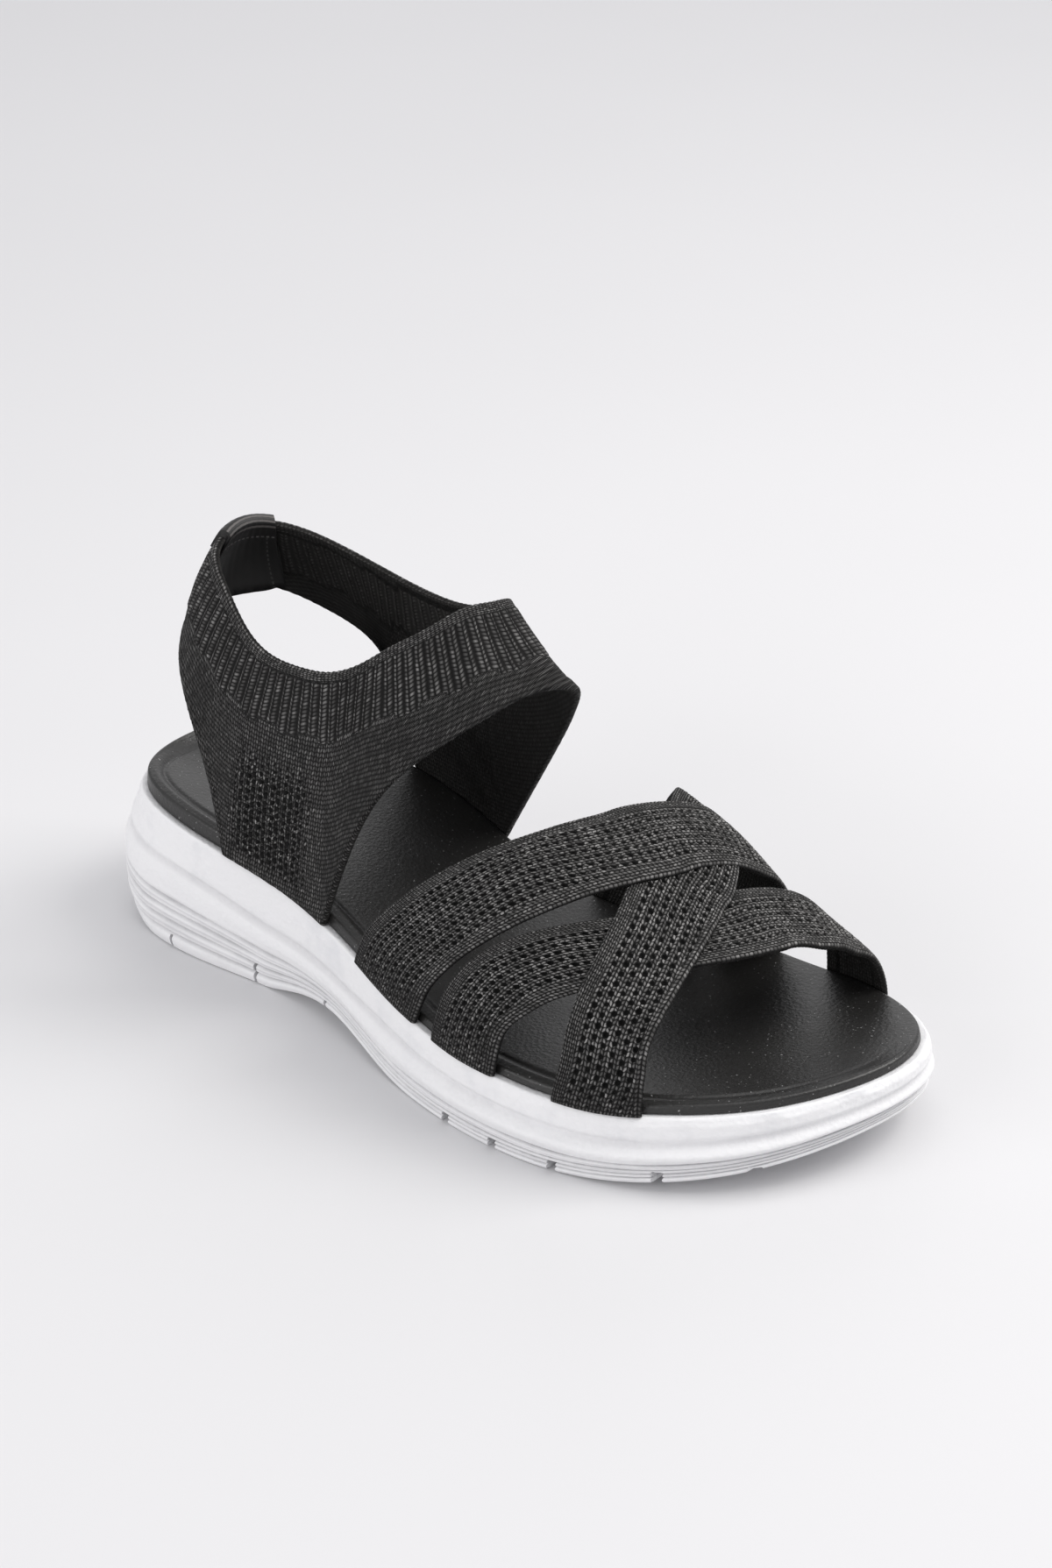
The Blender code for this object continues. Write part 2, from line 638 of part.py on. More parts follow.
def strap_wall(rows, over, width_share):
    """Middle of the strap's wall and its outward normal."""
    overs = column(rows, STRAP_COLUMNS, "over")

    def at(o, w):
        o = min(max(o, 0.0), 1.0)
        rear = ease(overs, column(rows, STRAP_COLUMNS, "rear"), o) * SOLE_LENGTH
        front = ease(overs, column(rows, STRAP_COLUMNS, "front"), o) * SOLE_LENGTH
        return last_point(o, rear + (front - rear) * w)

    step = 0.01
    low = max(over - step, 0.0)
    high = min(over + step, 1.0)
    run = at(high, width_share) - at(low, width_share)
    wide = at(over, width_share + step) - at(over, width_share - step)
    normal = np.cross(wide, run)
    normal /= np.linalg.norm(normal)
    layers = ease(overs, column(rows, STRAP_COLUMNS, "layers"), over)
    layers -= ease(overs, column(rows, STRAP_COLUMNS, "dip"), over) * width_share
    middle = at(over, width_share) + normal * layers * (STRAP_THICKNESS - STRAP_OVERLAP)
    return middle, normal


def make_strap(name, rows, finish):
    """A strap as a closed band from one side of the footbed to the other."""
    shell = Shell()
    sections = []
    for k in range(STRAP_STEPS + 1):
        over = (1 - math.cos(math.pi * k / STRAP_STEPS)) / 2
        over = 0.35 * over + 0.65 * k / STRAP_STEPS
        outer = []
        inner = []
        for share, fullness in STRAP_SECTION:
            middle, normal = strap_wall(rows, over, share)
            half = STRAP_THICKNESS / 2 * fullness
            crown = STRAP_CROWN * (1 - (2 * share - 1) ** 2)
            outer.append(middle + normal * (half + crown))
            inner.append(middle - normal * (half - crown))
        section = outer + inner[::-1]
        if k in (0, STRAP_STEPS):
            section = [(p[0], p[1], seat_height(p[0]) + CLEARANCE) for p in section]
        sections.append(shell.add(section))
    for low, high in zip(sections, sections[1:]):
        shell.band(low, high)
    shell.faces.append(tuple(sections[0][::-1]))
    shell.faces.append(tuple(sections[-1]))
    return shell.to_object(name, finish, 50)


def make_forefoot_straps(finish):
    """The three straps joined where they cross, the rear one on top."""
    made = [make_strap(name, rows, finish) for name, rows in STRAPS.items()]
    whole = made[0]
    for other in made[1:]:
        join = whole.modifiers.new("join", "BOOLEAN")
        join.operation = "UNION"
        join.object = other
        other.hide_render = True
        other.display_type = "WIRE"
    whole.name = "forefoot_straps"
    return whole


def collar_place(along, across, up):
    """A place of the collar's table in metres."""
    return (along * SOLE_LENGTH, across * COLLAR_WIDTH / 2, HEEL_HEIGHT + up * COLLAR_HEIGHT)


def collar_seat(along, side):
    """The hem where a leg of the collar stands on the seat beside the footbed."""
    x = along * SOLE_LENGTH
    stand = CLEARANCE + STRAP_SEAT_CLEARANCE + COLLAR_WALL / 2
    return (x, wall_y(x, side, stand), seat_height(x) + CLEARANCE)


def collar_lines():
    """The rim and the hem, with COLLAR_STEPS samples on each span between the table's rows."""
    rim = spline([collar_place(*row[:3]) for row in COLLAR], COLLAR_STEPS, True)
    count = len(COLLAR)
    ends = column(COLLAR, COLLAR_COLUMNS, "hem end")
    alongs = column(COLLAR, COLLAR_COLUMNS, "hem along")
    seated = [k for k, end in enumerate(ends) if end == "sole"]
    corners = [seated[0], seated[2], seated[3], seated[5]]
    hem = {}
    places = [collar_seat(row[3], math.copysign(1, row[4])) if end == "sole" else collar_place(*row[3:6])
              for row, end in zip(COLLAR, ends)]
    for start, end in ((corners[1], corners[2]), (corners[3], corners[0] + count)):
        knots = [places[k % count] for k in range(start, end + 1)]
        curve = spline(knots, COLLAR_STEPS, False)
        for i, point in enumerate(curve):
            hem[(start * COLLAR_STEPS + i) % (count * COLLAR_STEPS)] = point
    for start, end in ((corners[0], corners[1]), (corners[2], corners[3])):
        side = math.copysign(1, COLLAR[start][4])
        for k in range(start, end):
            for i in range(COLLAR_STEPS):
                share = i / COLLAR_STEPS
                along = alongs[k] * (1 - share) + alongs[k + 1] * share
                hem[k * COLLAR_STEPS + i] = collar_seat(along, side)
    return rim, np.array([hem[k] for k in range(count * COLLAR_STEPS)])


COLLAR_RIM, COLLAR_HEM = collar_lines()


def collar_middle(place, level):
    """Middle of the collar's wall, level 0 at the rim and 1 at the hem. place counts columns and may be a fraction."""
    count = len(COLLAR_RIM)
    k = int(math.floor(place))
    share = place - k
    rim = COLLAR_RIM[k % count] * (1 - share) + COLLAR_RIM[(k + 1) % count] * share
    hem = COLLAR_HEM[k % count] * (1 - share) + COLLAR_HEM[(k + 1) % count] * share
    centre = COLLAR_RIM.mean(axis=0)
    out = (rim + hem) / 2 - centre
    drop = hem - rim
    out -= drop * np.dot(out, drop) / np.dot(drop, drop)
    out /= np.linalg.norm(out)
    swell = column(COLLAR, COLLAR_COLUMNS, "belly")
    row = (place % count) / COLLAR_STEPS
    here = int(row) % len(swell)
    fraction = row - int(row)
    full = COLLAR_BELLY * (swell[here] * (1 - fraction) + swell[(here + 1) % len(swell)] * fraction)
    return rim + drop * level + out * full * max(4 * level * (1 - level), 0.0)


def collar_wall(place, level):
    """Middle of the wall and its outward normal."""
    round_step = 0.5
    down_step = 0.02
    run = collar_middle(place + round_step, level) - collar_middle(place - round_step, level)
    down = collar_middle(place, level + down_step) - collar_middle(place, level - down_step)
    normal = np.cross(down, run)
    return collar_middle(place, level), normal / np.linalg.norm(normal)


def make_collar(finish):
    """One knitted wall: band round the ankle, strap over the instep and a leg down each side."""
    shell = Shell()
    count = len(COLLAR_RIM)
    levels = [k / COLLAR_LEVELS for k in range(COLLAR_LEVELS + 1)]
    rings = []
    for side in (1, -1):
        made = []
        for level in levels:
            end = level in (0.0, 1.0)
            half = COLLAR_WALL / 2 - (COLLAR_EDGE if end else 0.0)
            ring = []
            for place in range(count):
                middle, normal = collar_wall(place, level)
                point = middle + side * half * normal
                if level == 1.0 and COLLAR_HEM[place][2] <= seat_height(COLLAR_HEM[place][0]) + 2 * CLEARANCE:
                    point = (point[0], point[1], seat_height(point[0]) + CLEARANCE)
                ring.append(point)
            made.append(ring)
        rings.append(made)
    outer = [shell.add(ring) for ring in rings[0]]
    inner = [shell.add(ring) for ring in rings[1]]
    for high, low in zip(outer, outer[1:]):
        shell.band(low, high)
    for high, low in zip(inner, inner[1:]):
        shell.band(high, low)
    shell.band(outer[0], inner[0])
    shell.band(inner[-1], outer[-1])
    return shell.to_object("ankle_collar", finish, 60)


def patch_path(offset):
    """Section of the folded patch as (distance below the rim, offset from the wall's middle)."""
    drop = float(np.linalg.norm(COLLAR_HEM[0] - COLLAR_RIM[0]))
    path = [(drop * share, -offset) for share in (1.0, 0.75, 0.5, 0.25)]
    path[0] = (drop + PATCH_TAIL, -offset)
    for turn in range(0, 181, 30):
        angle = math.radians(turn)
        path.append((-offset * math.sin(angle), -offset * math.cos(angle)))
    path.append((PATCH_OUTER_DROP, offset))
    return path


def make_heel_patch(finish):
    """Patch that lines the back of the collar inside and is folded over its rim."""
    near = COLLAR_WALL / 2 + CLEARANCE
    spacing = float(np.linalg.norm(COLLAR_RIM[1] - COLLAR_RIM[0]))
    reach = PATCH_WIDTH / 2 / spacing
    shell = Shell()
    grids = []
    for offset in (near, near + PATCH_WALL):
        grid = []
        for k in range(PATCH_STEPS + 1):
            place = reach * (2 * k / PATCH_STEPS - 1)
            line = []
            for below, out in patch_path(offset):
                drop = float(np.linalg.norm(collar_middle(place, 1.0) - collar_middle(place, 0.0)))
                level = below / drop
                middle, normal = collar_wall(place, level)
                line.append(middle + normal * out)
            grid.append(shell.add(line))
        grids.append(grid)
    steps = len(grids[0][0]) - 1
    for grid in grids:
        for left, right in zip(grid, grid[1:]):
            for i in range(steps):
                shell.faces.append((left[i], left[i + 1], right[i + 1], right[i]))
    tight, loose = grids
    for k in range(PATCH_STEPS):
        for i in (0, steps):
            shell.faces.append((tight[k][i], tight[k + 1][i], loose[k + 1][i], loose[k][i]))
    for i in range(steps):
        for k in (0, PATCH_STEPS):
            shell.faces.append((tight[k][i], tight[k][i + 1], loose[k][i + 1], loose[k][i]))
    return shell.to_object("heel_patch", finish, 50)


def main():
    clear_scene()
    white = material("moulded_white", (0.86, 0.87, 0.88), 0.45)
    wrap = material("black_wrap", (0.018, 0.018, 0.019), 0.42)
    knit = material("black_knit", (0.022, 0.022, 0.023), 0.85)
    make_sole(white)
    make_footbed(wrap)
    make_forefoot_straps(knit)
    make_collar(knit)
    make_heel_patch(wrap)


main()
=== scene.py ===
import bpy
import math
import numpy as np
from functools import partialmethod
from mathutils import Matrix, Vector
from mathutils.kdtree import KDTree


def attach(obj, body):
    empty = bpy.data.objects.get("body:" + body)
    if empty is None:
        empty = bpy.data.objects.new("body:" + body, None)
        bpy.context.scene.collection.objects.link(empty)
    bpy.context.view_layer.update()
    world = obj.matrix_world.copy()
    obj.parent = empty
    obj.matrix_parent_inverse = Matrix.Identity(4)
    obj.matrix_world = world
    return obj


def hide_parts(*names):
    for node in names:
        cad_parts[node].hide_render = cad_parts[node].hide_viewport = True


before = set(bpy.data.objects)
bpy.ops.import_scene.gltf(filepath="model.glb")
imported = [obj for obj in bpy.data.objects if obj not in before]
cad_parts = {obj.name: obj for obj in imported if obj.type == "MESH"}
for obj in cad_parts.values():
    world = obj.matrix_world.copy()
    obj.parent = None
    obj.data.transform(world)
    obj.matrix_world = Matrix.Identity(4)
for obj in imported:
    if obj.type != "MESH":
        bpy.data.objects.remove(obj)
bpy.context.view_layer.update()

# Named sizes and tables of the part, the same as the solids', in metres
SOLE_LENGTH = 0.2595
BALL_WIDTH = 0.1066
HEEL_WIDTH = 0.0756
HEEL_HEIGHT = 0.0430
WAIST_HEIGHT = 0.0280
FOREFOOT_HEIGHT = 0.0195
TOE_HEIGHT = 0.0255
HEEL_BEVEL = 0.0080
ARCH_LIFT = 0.0045
TOE_SPRING = 0.0131
SIDE_FLARE = 0.0058
LIP = 0.0020
RIB_DEPTH = 0.0006
EDGE_ROUND = 0.0012
FOOTBED_HEEL_THICKNESS = 0.0050
FOOTBED_TOE_THICKNESS = 0.0024
FOOTBED_RIM = 0.0012
HEEL_CUP_DEPTH = 0.0032
FOREFOOT_DISH_DEPTH = 0.0012
CLEARANCE = 0.0003
STRAP_THICKNESS = 0.0019
STRAP_CROWN = 0.0003
STRAP_OVERLAP = 0.0004
INSTEP_RISE = 0.0507
LAST_SIDE_POWER = 2.6
LAST_MEDIAL_POWER = 2.8
LAST_RIDGE = 0.55
STRAP_SEAT_CLEARANCE = 0.0002
COLLAR_HEIGHT = 0.0860
COLLAR_WIDTH = 0.0600
COLLAR_WALL = 0.0020
COLLAR_BELLY = 0.0018
PATCH_WALL = 0.0008
PATCH_WIDTH = 0.0200
PATCH_OUTER_DROP = 0.0050
PATCH_TAIL = 0.0010
PATCH_GAP = 0.00022
HALF_COLUMNS = 240
COLLAR_STEPS = 12

# Outline of the footbed: shares along SOLE_LENGTH, then the lateral and the medial half breadth as shares of
# BALL_WIDTH
OUTLINE = (
    (.038, .199, .241),
    (.110, .277, .341),
    (.200, .295, .375),
    (.320, .308, .361),
    (.430, .381, .304),
    (.530, .457, .298),
    (.620, .499, .356),
    (.710, .503, .398),
    (.790, .460, .400),
    (.870, .358, .376),
    (.932, .212, .310),
    (.968, .056, .220),
)
HEEL_APEX = (0.0125, 0.020)
TOE_APEX = (0.9815, 0.095)
HEEL_SHARE_OF_BALL = 0.709
HEEL_WIDTH_ENDS = (0.30, 0.50)

# The side of the sole, a row for each line from the lower edge up. Its heights are percents of the way from the
# lower edge to the seat and its reaches outside the footbed's outline are percents of SIDE_FLARE, both given at
# STATIONS, shares of the footbed's length.
STATIONS = (0.00, 0.12, 0.26, 0.38, 0.52, 0.66, 0.90, 1.00)
SIDE_LINES = (
    ("lower edge", (0, 0, 0, 0, 0, 0, 0, 0), (96, 83, 53, 41, 63, 71, 61, 33)),
    ("rib one", (6, 7, 6, 5, 5, 5, 6, 6), (117, 95, 63, 49, 71, 79, 70, 41)),
    ("groove one", (11, 12, 10, 8, 8, 8, 9, 9), (131, 97, 64, 50, 72, 80, 71, 42)),
    ("rib two", (16, 17, 14, 11, 11, 11, 12, 12), (141, 99, 66, 51, 73, 81, 72, 43)),
    ("groove two", (21, 22, 18, 13, 14, 14, 15, 15), (147, 100, 67, 51, 73, 81, 73, 44)),
    ("rib three", (26, 27, 22, 16, 17, 17, 18, 18), (150, 101, 68, 52, 73, 81, 73, 45)),
    ("groove three", (31, 32, 26, 18, 20, 20, 21, 21), (151, 101, 69, 52, 73, 81, 73, 45)),
    ("rib four", (36, 37, 30, 21, 23, 24, 24, 24), (150, 100, 69, 53, 72, 80, 73, 45)),
    ("step", (41, 41, 34, 24, 27, 29, 28, 28), (147, 97, 68, 52, 68, 73, 67, 41)),
    ("ridge foot", (46, 46, 39, 27, 30, 33, 31, 31), (143, 95, 68, 53, 67, 73, 68, 43)),
    ("ridge", (56, 56, 46, 36, 42, 46, 42, 40), (127, 75, 57, 51, 61, 73, 75, 51)),
    ("crease", (68, 69, 58, 50, 60, 61, 60, 60), (107, 73, 57, 53, 43, 43, 51, 47)),
    ("band foot", (76, 76, 70, 66, 70, 71, 72, 72), (87, 61, 47, 43, 41, 45, 51, 47)),
    ("band", (88, 88, 86, 85, 86, 86, 87, 87), (55, 43, 39, 37, 38, 41, 45, 44)),
    ("lip", (97.5, 97.5, 97.5, 97, 97, 97, 97, 97), (36, 35, 34, 34, 34, 35, 36, 36)),
)
GROOVES = ("groove one", "groove two", "groove three", "step")

# Height of the seat that carries the footbed: shares along, then shares of the heights of the heel, the waist,
# the forefoot and the toe
SEAT = (
    (0, 1, 0, 0, 0),
    (.19, .72, .21, 0, 0),
    (.40, 0, 1, 0, 0),
    (.62, 0, .02, 1, 0),
    (.76, 0, 0, 1, 0),
    (.88, 0, 0, .65, .35),
    (1, 0, 0, 0, 1),
)

# Where the lower edge lies flat on the floor, under the heel and under the ball
HEEL_FLAT = (0.085, 0.265)
BALL_FLAT = (0.545, 0.710)
LOWER_END = 0.995

# Depth of the footbed's dish: shares along, then of HEEL_CUP_DEPTH and of FOREFOOT_DISH_DEPTH
DISH = (
    (0, .60, 0),
    (.10, 1, 0),
    (.30, .70, 0),
    (.50, 0, 1),
    (.75, 0, 1),
    (1, 0, .50),
)

# Height of the last above the seat: shares along, then of INSTEP_RISE
LAST = (
    (.36, .97),
    (.46, .96),
    (.54, .99),
    (.62, 1.01),
    (.69, .93),
    (.77, .75),
    (.83, .645),
    (.89, .57),
    (.96, .40),
)

# Straps: at shares of the way over from the lateral to the medial side, the rear and front edge as shares
# along, the layers of strap that lie beneath, and how many layers the front edge dips
STRAPS = {
    "rear_strap": (
        (0, .427, .540, 0, 0),
        (.08, .447, .559, 0, 0),
        (.16, .480, .592, .1, 0),
        (.25, .521, .640, .6, 0),
        (.34, .567, .682, 1.7, 0),
        (.45, .622, .721, 2.2, 0),
        (.55, .654, .748, 2.7, 1),
        (.66, .675, .768, 3.6, 3.2),
        (.78, .683, .774, 1.9, 3.2),
        (.90, .660, .757, .1, 1.2),
        (1, .642, .735, 0, 0),
    ),
    "cross_strap": (
        (0, .730, .822, 0, 0),
        (.10, .738, .820, .5, 0),
        (.18, .736, .816, 1, 0),
        (.27, .734, .816, 1.1, 0),
        (.36, .726, .812, 1.1, 0),
        (.46, .705, .797, 1.1, 0),
        (.55, .674, .764, 1.6, .6),
        (.62, .653, .738, 2.9, 2.1),
        (.68, .637, .718, 4.6, 3.1),
        (.74, .617, .697, 4.4, 2.2),
        (.82, .585, .674, 2.2, .6),
        (.90, .541, .652, .4, 0),
        (1, .514, .638, 0, 0),
    ),
    "front_strap": (
        (0, .568, .660, 0, 0),
        (.08, .580, .668, 0, 0),
        (.16, .604, .700, 0, 0),
        (.25, .652, .748, 0, 0),
        (.36, .716, .804, 0, 0),
        (.47, .757, .847, 0, .9),
        (.58, .782, .870, 0, 3.8),
        (.70, .797, .881, 0, 4.0),
        (.82, .803, .886, 0, 2.2),
        (1, .801, .884, 0, 0),
    ),
}

# Ankle collar, a row for each section round it from the back over the lateral side: the rim's place, then the
# hem's, as shares along, across (of half COLLAR_WIDTH) and up (of COLLAR_HEIGHT over the heel's seat), and how
# much of COLLAR_BELLY the wall swells out between them. A hem with no place up stands on the seat beside the
# footbed's wall.
COLLAR = (
    (.1254, .07, .923, .1061, .03, .675, 1),
    (.1428, -.47, .890, .1003, -.57, .576, 1),
    (.1795, -.70, .834, .1303, -.87, .440, 1),
    (.2297, -.85, .720, .1767, -1.02, .197, 1),
    (.2665, -.92, .687, .2050, -1.05, None, 1),
    (.3120, -.94, .683, .2850, -1.10, None, 1),
    (.3506, -.92, .697, .3640, -1.20, None, .8),
    (.3853, -.83, .744, .3910, -1.20, .081, .5),
    (.4123, -.72, .806, .4410, -1.05, .384, .2),
    (.4470, -.52, .880, .4874, -.75, .538, 0),
    (.4661, -.23, .928, .5193, -.35, .625, -.4),
    (.4698, .07, .915, .5355, .07, .657, -.8),
    (.4668, .30, .895, .5518, .40, .643, -.8),
    (.4408, .63, .829, .5316, .68, .527, -.4),
    (.4063, .87, .761, .4919, .92, .360, 0),
    (.3669, .97, .715, .4312, 1.12, .081, .4),
    (.3313, 1, .697, .3820, 1.22, None, .8),
    (.2927, 1, .703, .3200, 1.27, None, 1),
    (.2580, .98, .723, .2340, 1.30, None, 1),
    (.2270, .92, .756, .2283, 1.17, .178, 1),
    (.1923, .80, .804, .2110, 1.03, .438, 1),
    (.1536, .50, .882, .1575, .80, .559, 1),
)


def unit(v):
    return v / np.linalg.norm(v, axis=-1, keepdims=True)


def clamp(x):
    return np.clip(x, 0.0, 1.0)


def columns(table):
    """The columns of a table of numbers."""
    return np.array(table).T


def halves(ring, turn):
    """The lateral and the medial half of a closed ring that starts at the heel and turns back at the toe."""
    return ring[:turn + 1], np.vstack([ring[turn:], ring[:1]])[::-1]


def spline_second_slopes(steps, values, closed):
    """Second slopes of a cubic spline through values at knots that lie steps apart."""
    count = len(values)
    system = np.zeros((count, count))
    right = np.zeros(values.shape)
    for k in range(count):
        if not closed and k in (0, count - 1):
            system[k, k] = 1.0
            continue
        before = steps[k - 1]
        after = steps[k]
        system[k, k - 1] += before
        system[k, k] += 2 * (before + after)
        system[k, (k + 1) % count] += after
        rise_after = (values[(k + 1) % count] - values[k]) / after
        rise_before = (values[k] - values[k - 1]) / before
        right[k] = 6 * (rise_after - rise_before)
    return np.linalg.solve(system, right)


def spline(points, per_span, closed):
    """Smooth curve through points, with per_span samples on each span between neighbours."""
    values = np.array(points, dtype=float)
    count = len(values)
    spans = count if closed else count - 1
    steps = [float(np.linalg.norm(values[(k + 1) % count] - values[k])) for k in range(spans)]
    second = spline_second_slopes(steps, values, closed)
    out = []
    for k in range(spans):
        nxt = (k + 1) % count
        step = steps[k]
        for i in range(per_span):
            right_share = i / per_span
            left_share = 1 - right_share
            bend_left = (left_share ** 3 - left_share) * step * step / 6
            bend_right = (right_share ** 3 - right_share) * step * step / 6
            out.append(left_share * values[k] + right_share * values[nxt]
                       + bend_left * second[k] + bend_right * second[nxt])
    if not closed:
        out.append(values[-1])
    return np.array(out)


def ease(xs, ys, x):
    """Values at x of a smooth curve through (xs, ys) that never overshoots them."""
    xs = np.asarray(xs, dtype=float)
    ys = np.asarray(ys, dtype=float)
    rise = np.diff(ys) / np.diff(xs)
    slope = np.zeros(len(xs))
    slope[0] = rise[0]
    slope[-1] = rise[-1]
    for k in range(1, len(xs) - 1):
        if rise[k - 1] * rise[k] > 0:
            slope[k] = 2 * rise[k - 1] * rise[k] / (rise[k - 1] + rise[k])
    x = np.clip(x, xs[0], xs[-1])
    k = np.minimum(np.searchsorted(xs, x, side="right") - 1, len(xs) - 2)
    width = xs[k + 1] - xs[k]
    t = (x - xs[k]) / width
    return ((1 + 2 * t) * (1 - t) ** 2 * ys[k] + t * (1 - t) ** 2 * width * slope[k]
            + t * t * (3 - 2 * t) * ys[k + 1] + t * t * (t - 1) * width * slope[k + 1])


def ramp(low, high, x):
    return clamp((x - low) / (high - low))


def smooth_step(low, high, x):
    t = ramp(low, high, x)
    return t * t * (3 - 2 * t)


def footbed_outline(half_columns):
    """Outline of the footbed: half_columns stations a side, the two sides paired at the same length."""
    along, lateral, medial = columns(OUTLINE)
    loop = [HEEL_APEX, *zip(along, -lateral), TOE_APEX, *zip(along[::-1], medial[::-1])]
    dense = spline(np.array(loop) * (SOLE_LENGTH, BALL_WIDTH), 60, True)
    heel_width_scale = HEEL_WIDTH / (BALL_WIDTH * HEEL_SHARE_OF_BALL)
    share = 1 - smooth_step(*HEEL_WIDTH_ENDS, dense[:, 0] / SOLE_LENGTH)
    dense[:, 1] *= 1 + (heel_width_scale - 1) * share
    first = int(np.argmin(dense[:, 0]))
    dense = np.roll(dense, -first, axis=0)
    last = int(np.argmax(dense[:, 0]))
    start = dense[0, 0]
    end = dense[last, 0]
    places = [start + (end - start) * (1 - math.cos(math.pi * k / half_columns)) / 2
              for k in range(half_columns + 1)]
    near, far = [np.column_stack([places, np.interp(places, *side.T)]) for side in halves(dense, last)]
    return np.vstack([near, far[-2:0:-1]])


def outward(outline):
    """Unit normals of a closed outline that runs round anticlockwise."""
    along = np.roll(outline, -1, axis=0) - np.roll(outline, 1, axis=0)
    normal = np.stack([along[:, 1], -along[:, 0]], axis=1)
    return unit(normal)


BED = footbed_outline(HALF_COLUMNS)
BED_NORMAL = outward(BED)
HEEL_X = float(BED[:, 0].min())
TOE_X = float(BED[:, 0].max())
BED_SHARE = (BED[:, 0] - HEEL_X) / (TOE_X - HEEL_X)
COLUMNS = len(BED)


def seat_height(x):
    """Height of the seat that carries the footbed."""
    along, heel, waist, forefoot, toe = columns(SEAT)
    heights = heel * HEEL_HEIGHT + waist * WAIST_HEIGHT + forefoot * FOREFOOT_HEIGHT + toe * TOE_HEIGHT
    return ease(along, heights, x / SOLE_LENGTH)


def lower_height(x):
    """Height of the lower edge: bevelled heel, flat heel, lifted arch, flat forefoot, toe spring."""
    share = x / SOLE_LENGTH
    heel_back = (HEEL_X - SIDE_FLARE) / SOLE_LENGTH
    back = ramp(HEEL_FLAT[0], heel_back, share)
    middle = ramp(HEEL_FLAT[1], BALL_FLAT[0], share)
    front = ramp(BALL_FLAT[1], LOWER_END, share)
    return (HEEL_BEVEL * back ** 1.7 + ARCH_LIFT * np.sin(math.pi * middle ** 0.72) ** 2
            + TOE_SPRING * front ** 2.1)


def footbed_thickness(x):
    share = ease((0.0, 0.10, 0.60, 1.0), (1.0, 1.0, 0.0, 0.0), x / SOLE_LENGTH)
    return FOOTBED_TOE_THICKNESS + share * (FOOTBED_HEEL_THICKNESS - FOOTBED_TOE_THICKNESS)


def set_off(offset):
    """The footbed's outline moved outward by offset, one value or one for each column."""
    return BED + BED_NORMAL * np.reshape(offset, (-1, 1))


def side_line(row):
    """One closed ring of the sole's side, from its row in SIDE_LINES."""
    name, *percents = row
    heights, reaches = np.array(percents) / 100
    reach = SIDE_FLARE * ease(STATIONS, reaches, BED_SHARE) - (RIB_DEPTH if name in GROOVES else 0.0)
    flat = set_off(reach)
    low = lower_height(flat[:, 0])
    up = low + ease(STATIONS, heights, BED_SHARE) * (seat_height(flat[:, 0]) - low)
    return np.column_stack([flat, up])


# Where the frame's origin lies in the tables' axes
ORIGIN = np.array([0.1261005, -0.00561958, 0.0])


def dish_depth(x):
    along, heel_cup, forefoot_dish = columns(DISH)
    depths = heel_cup * HEEL_CUP_DEPTH + forefoot_dish * FOREFOOT_DISH_DEPTH
    return ease(along, depths, x / SOLE_LENGTH)


def wall_y(x, side, offset):
    """Across, the footbed's wall at x moved outward by offset. side is -1 lateral, 1 medial."""
    return np.interp(x, *halves(set_off(offset), HALF_COLUMNS)[int(side > 0)].T)


def last_point(over, x):
    """Points on the last at lengths x and shares over from the lateral to the medial side."""
    stand = CLEARANCE + STRAP_SEAT_CLEARANCE + STRAP_THICKNESS / 2
    lateral = wall_y(x, -1, stand)
    medial = wall_y(x, 1, stand)
    ridge = lateral + LAST_RIDGE * (medial - lateral)
    angle = math.pi * over
    power = np.where(over < 0.5, LAST_SIDE_POWER, LAST_MEDIAL_POWER)
    reach = np.abs(np.cos(angle)) ** (2 / power)
    y = ridge + reach * (np.where(over < 0.5, lateral, medial) - ridge)
    rise = INSTEP_RISE * ease(*columns(LAST), x / SOLE_LENGTH)
    return np.stack([x, y, seat_height(x) + CLEARANCE + rise * np.sin(angle)], axis=-1)


def strap_middle(rows, over, share):
    """Middle of the strap's wall, before it is lifted over what lies beneath."""
    overs, rears, fronts, _, _ = columns(rows)
    over = clamp(over)
    rear = ease(overs, rears, over) * SOLE_LENGTH
    front = ease(overs, fronts, over) * SOLE_LENGTH
    return last_point(over, rear + (front - rear) * share)


def strap_wall(rows, over, share):
    """Middle of the strap's wall and its outward normal."""
    overs, _, _, layers, dips = columns(rows)
    step = 0.01
    run = strap_middle(rows, over + step, share) - strap_middle(rows, over - step, share)
    wide = strap_middle(rows, over, share + step) - strap_middle(rows, over, share - step)
    normal = unit(np.cross(wide, run))
    lift = (ease(overs, layers, over) - ease(overs, dips, over) * share) * (STRAP_THICKNESS - STRAP_OVERLAP)
    return strap_middle(rows, over, share) + normal * lift[..., None], normal


def collar_place(along, across, up):
    """A place of the collar's table in metres."""
    return (along * SOLE_LENGTH, across * COLLAR_WIDTH / 2, HEEL_HEIGHT + up * COLLAR_HEIGHT)


def collar_seat(along, side):
    """The hem where a leg of the collar stands on the seat beside the footbed."""
    x = along * SOLE_LENGTH
    stand = CLEARANCE + STRAP_SEAT_CLEARANCE + COLLAR_WALL / 2
    return (x, wall_y(x, side, stand), seat_height(x) + CLEARANCE)


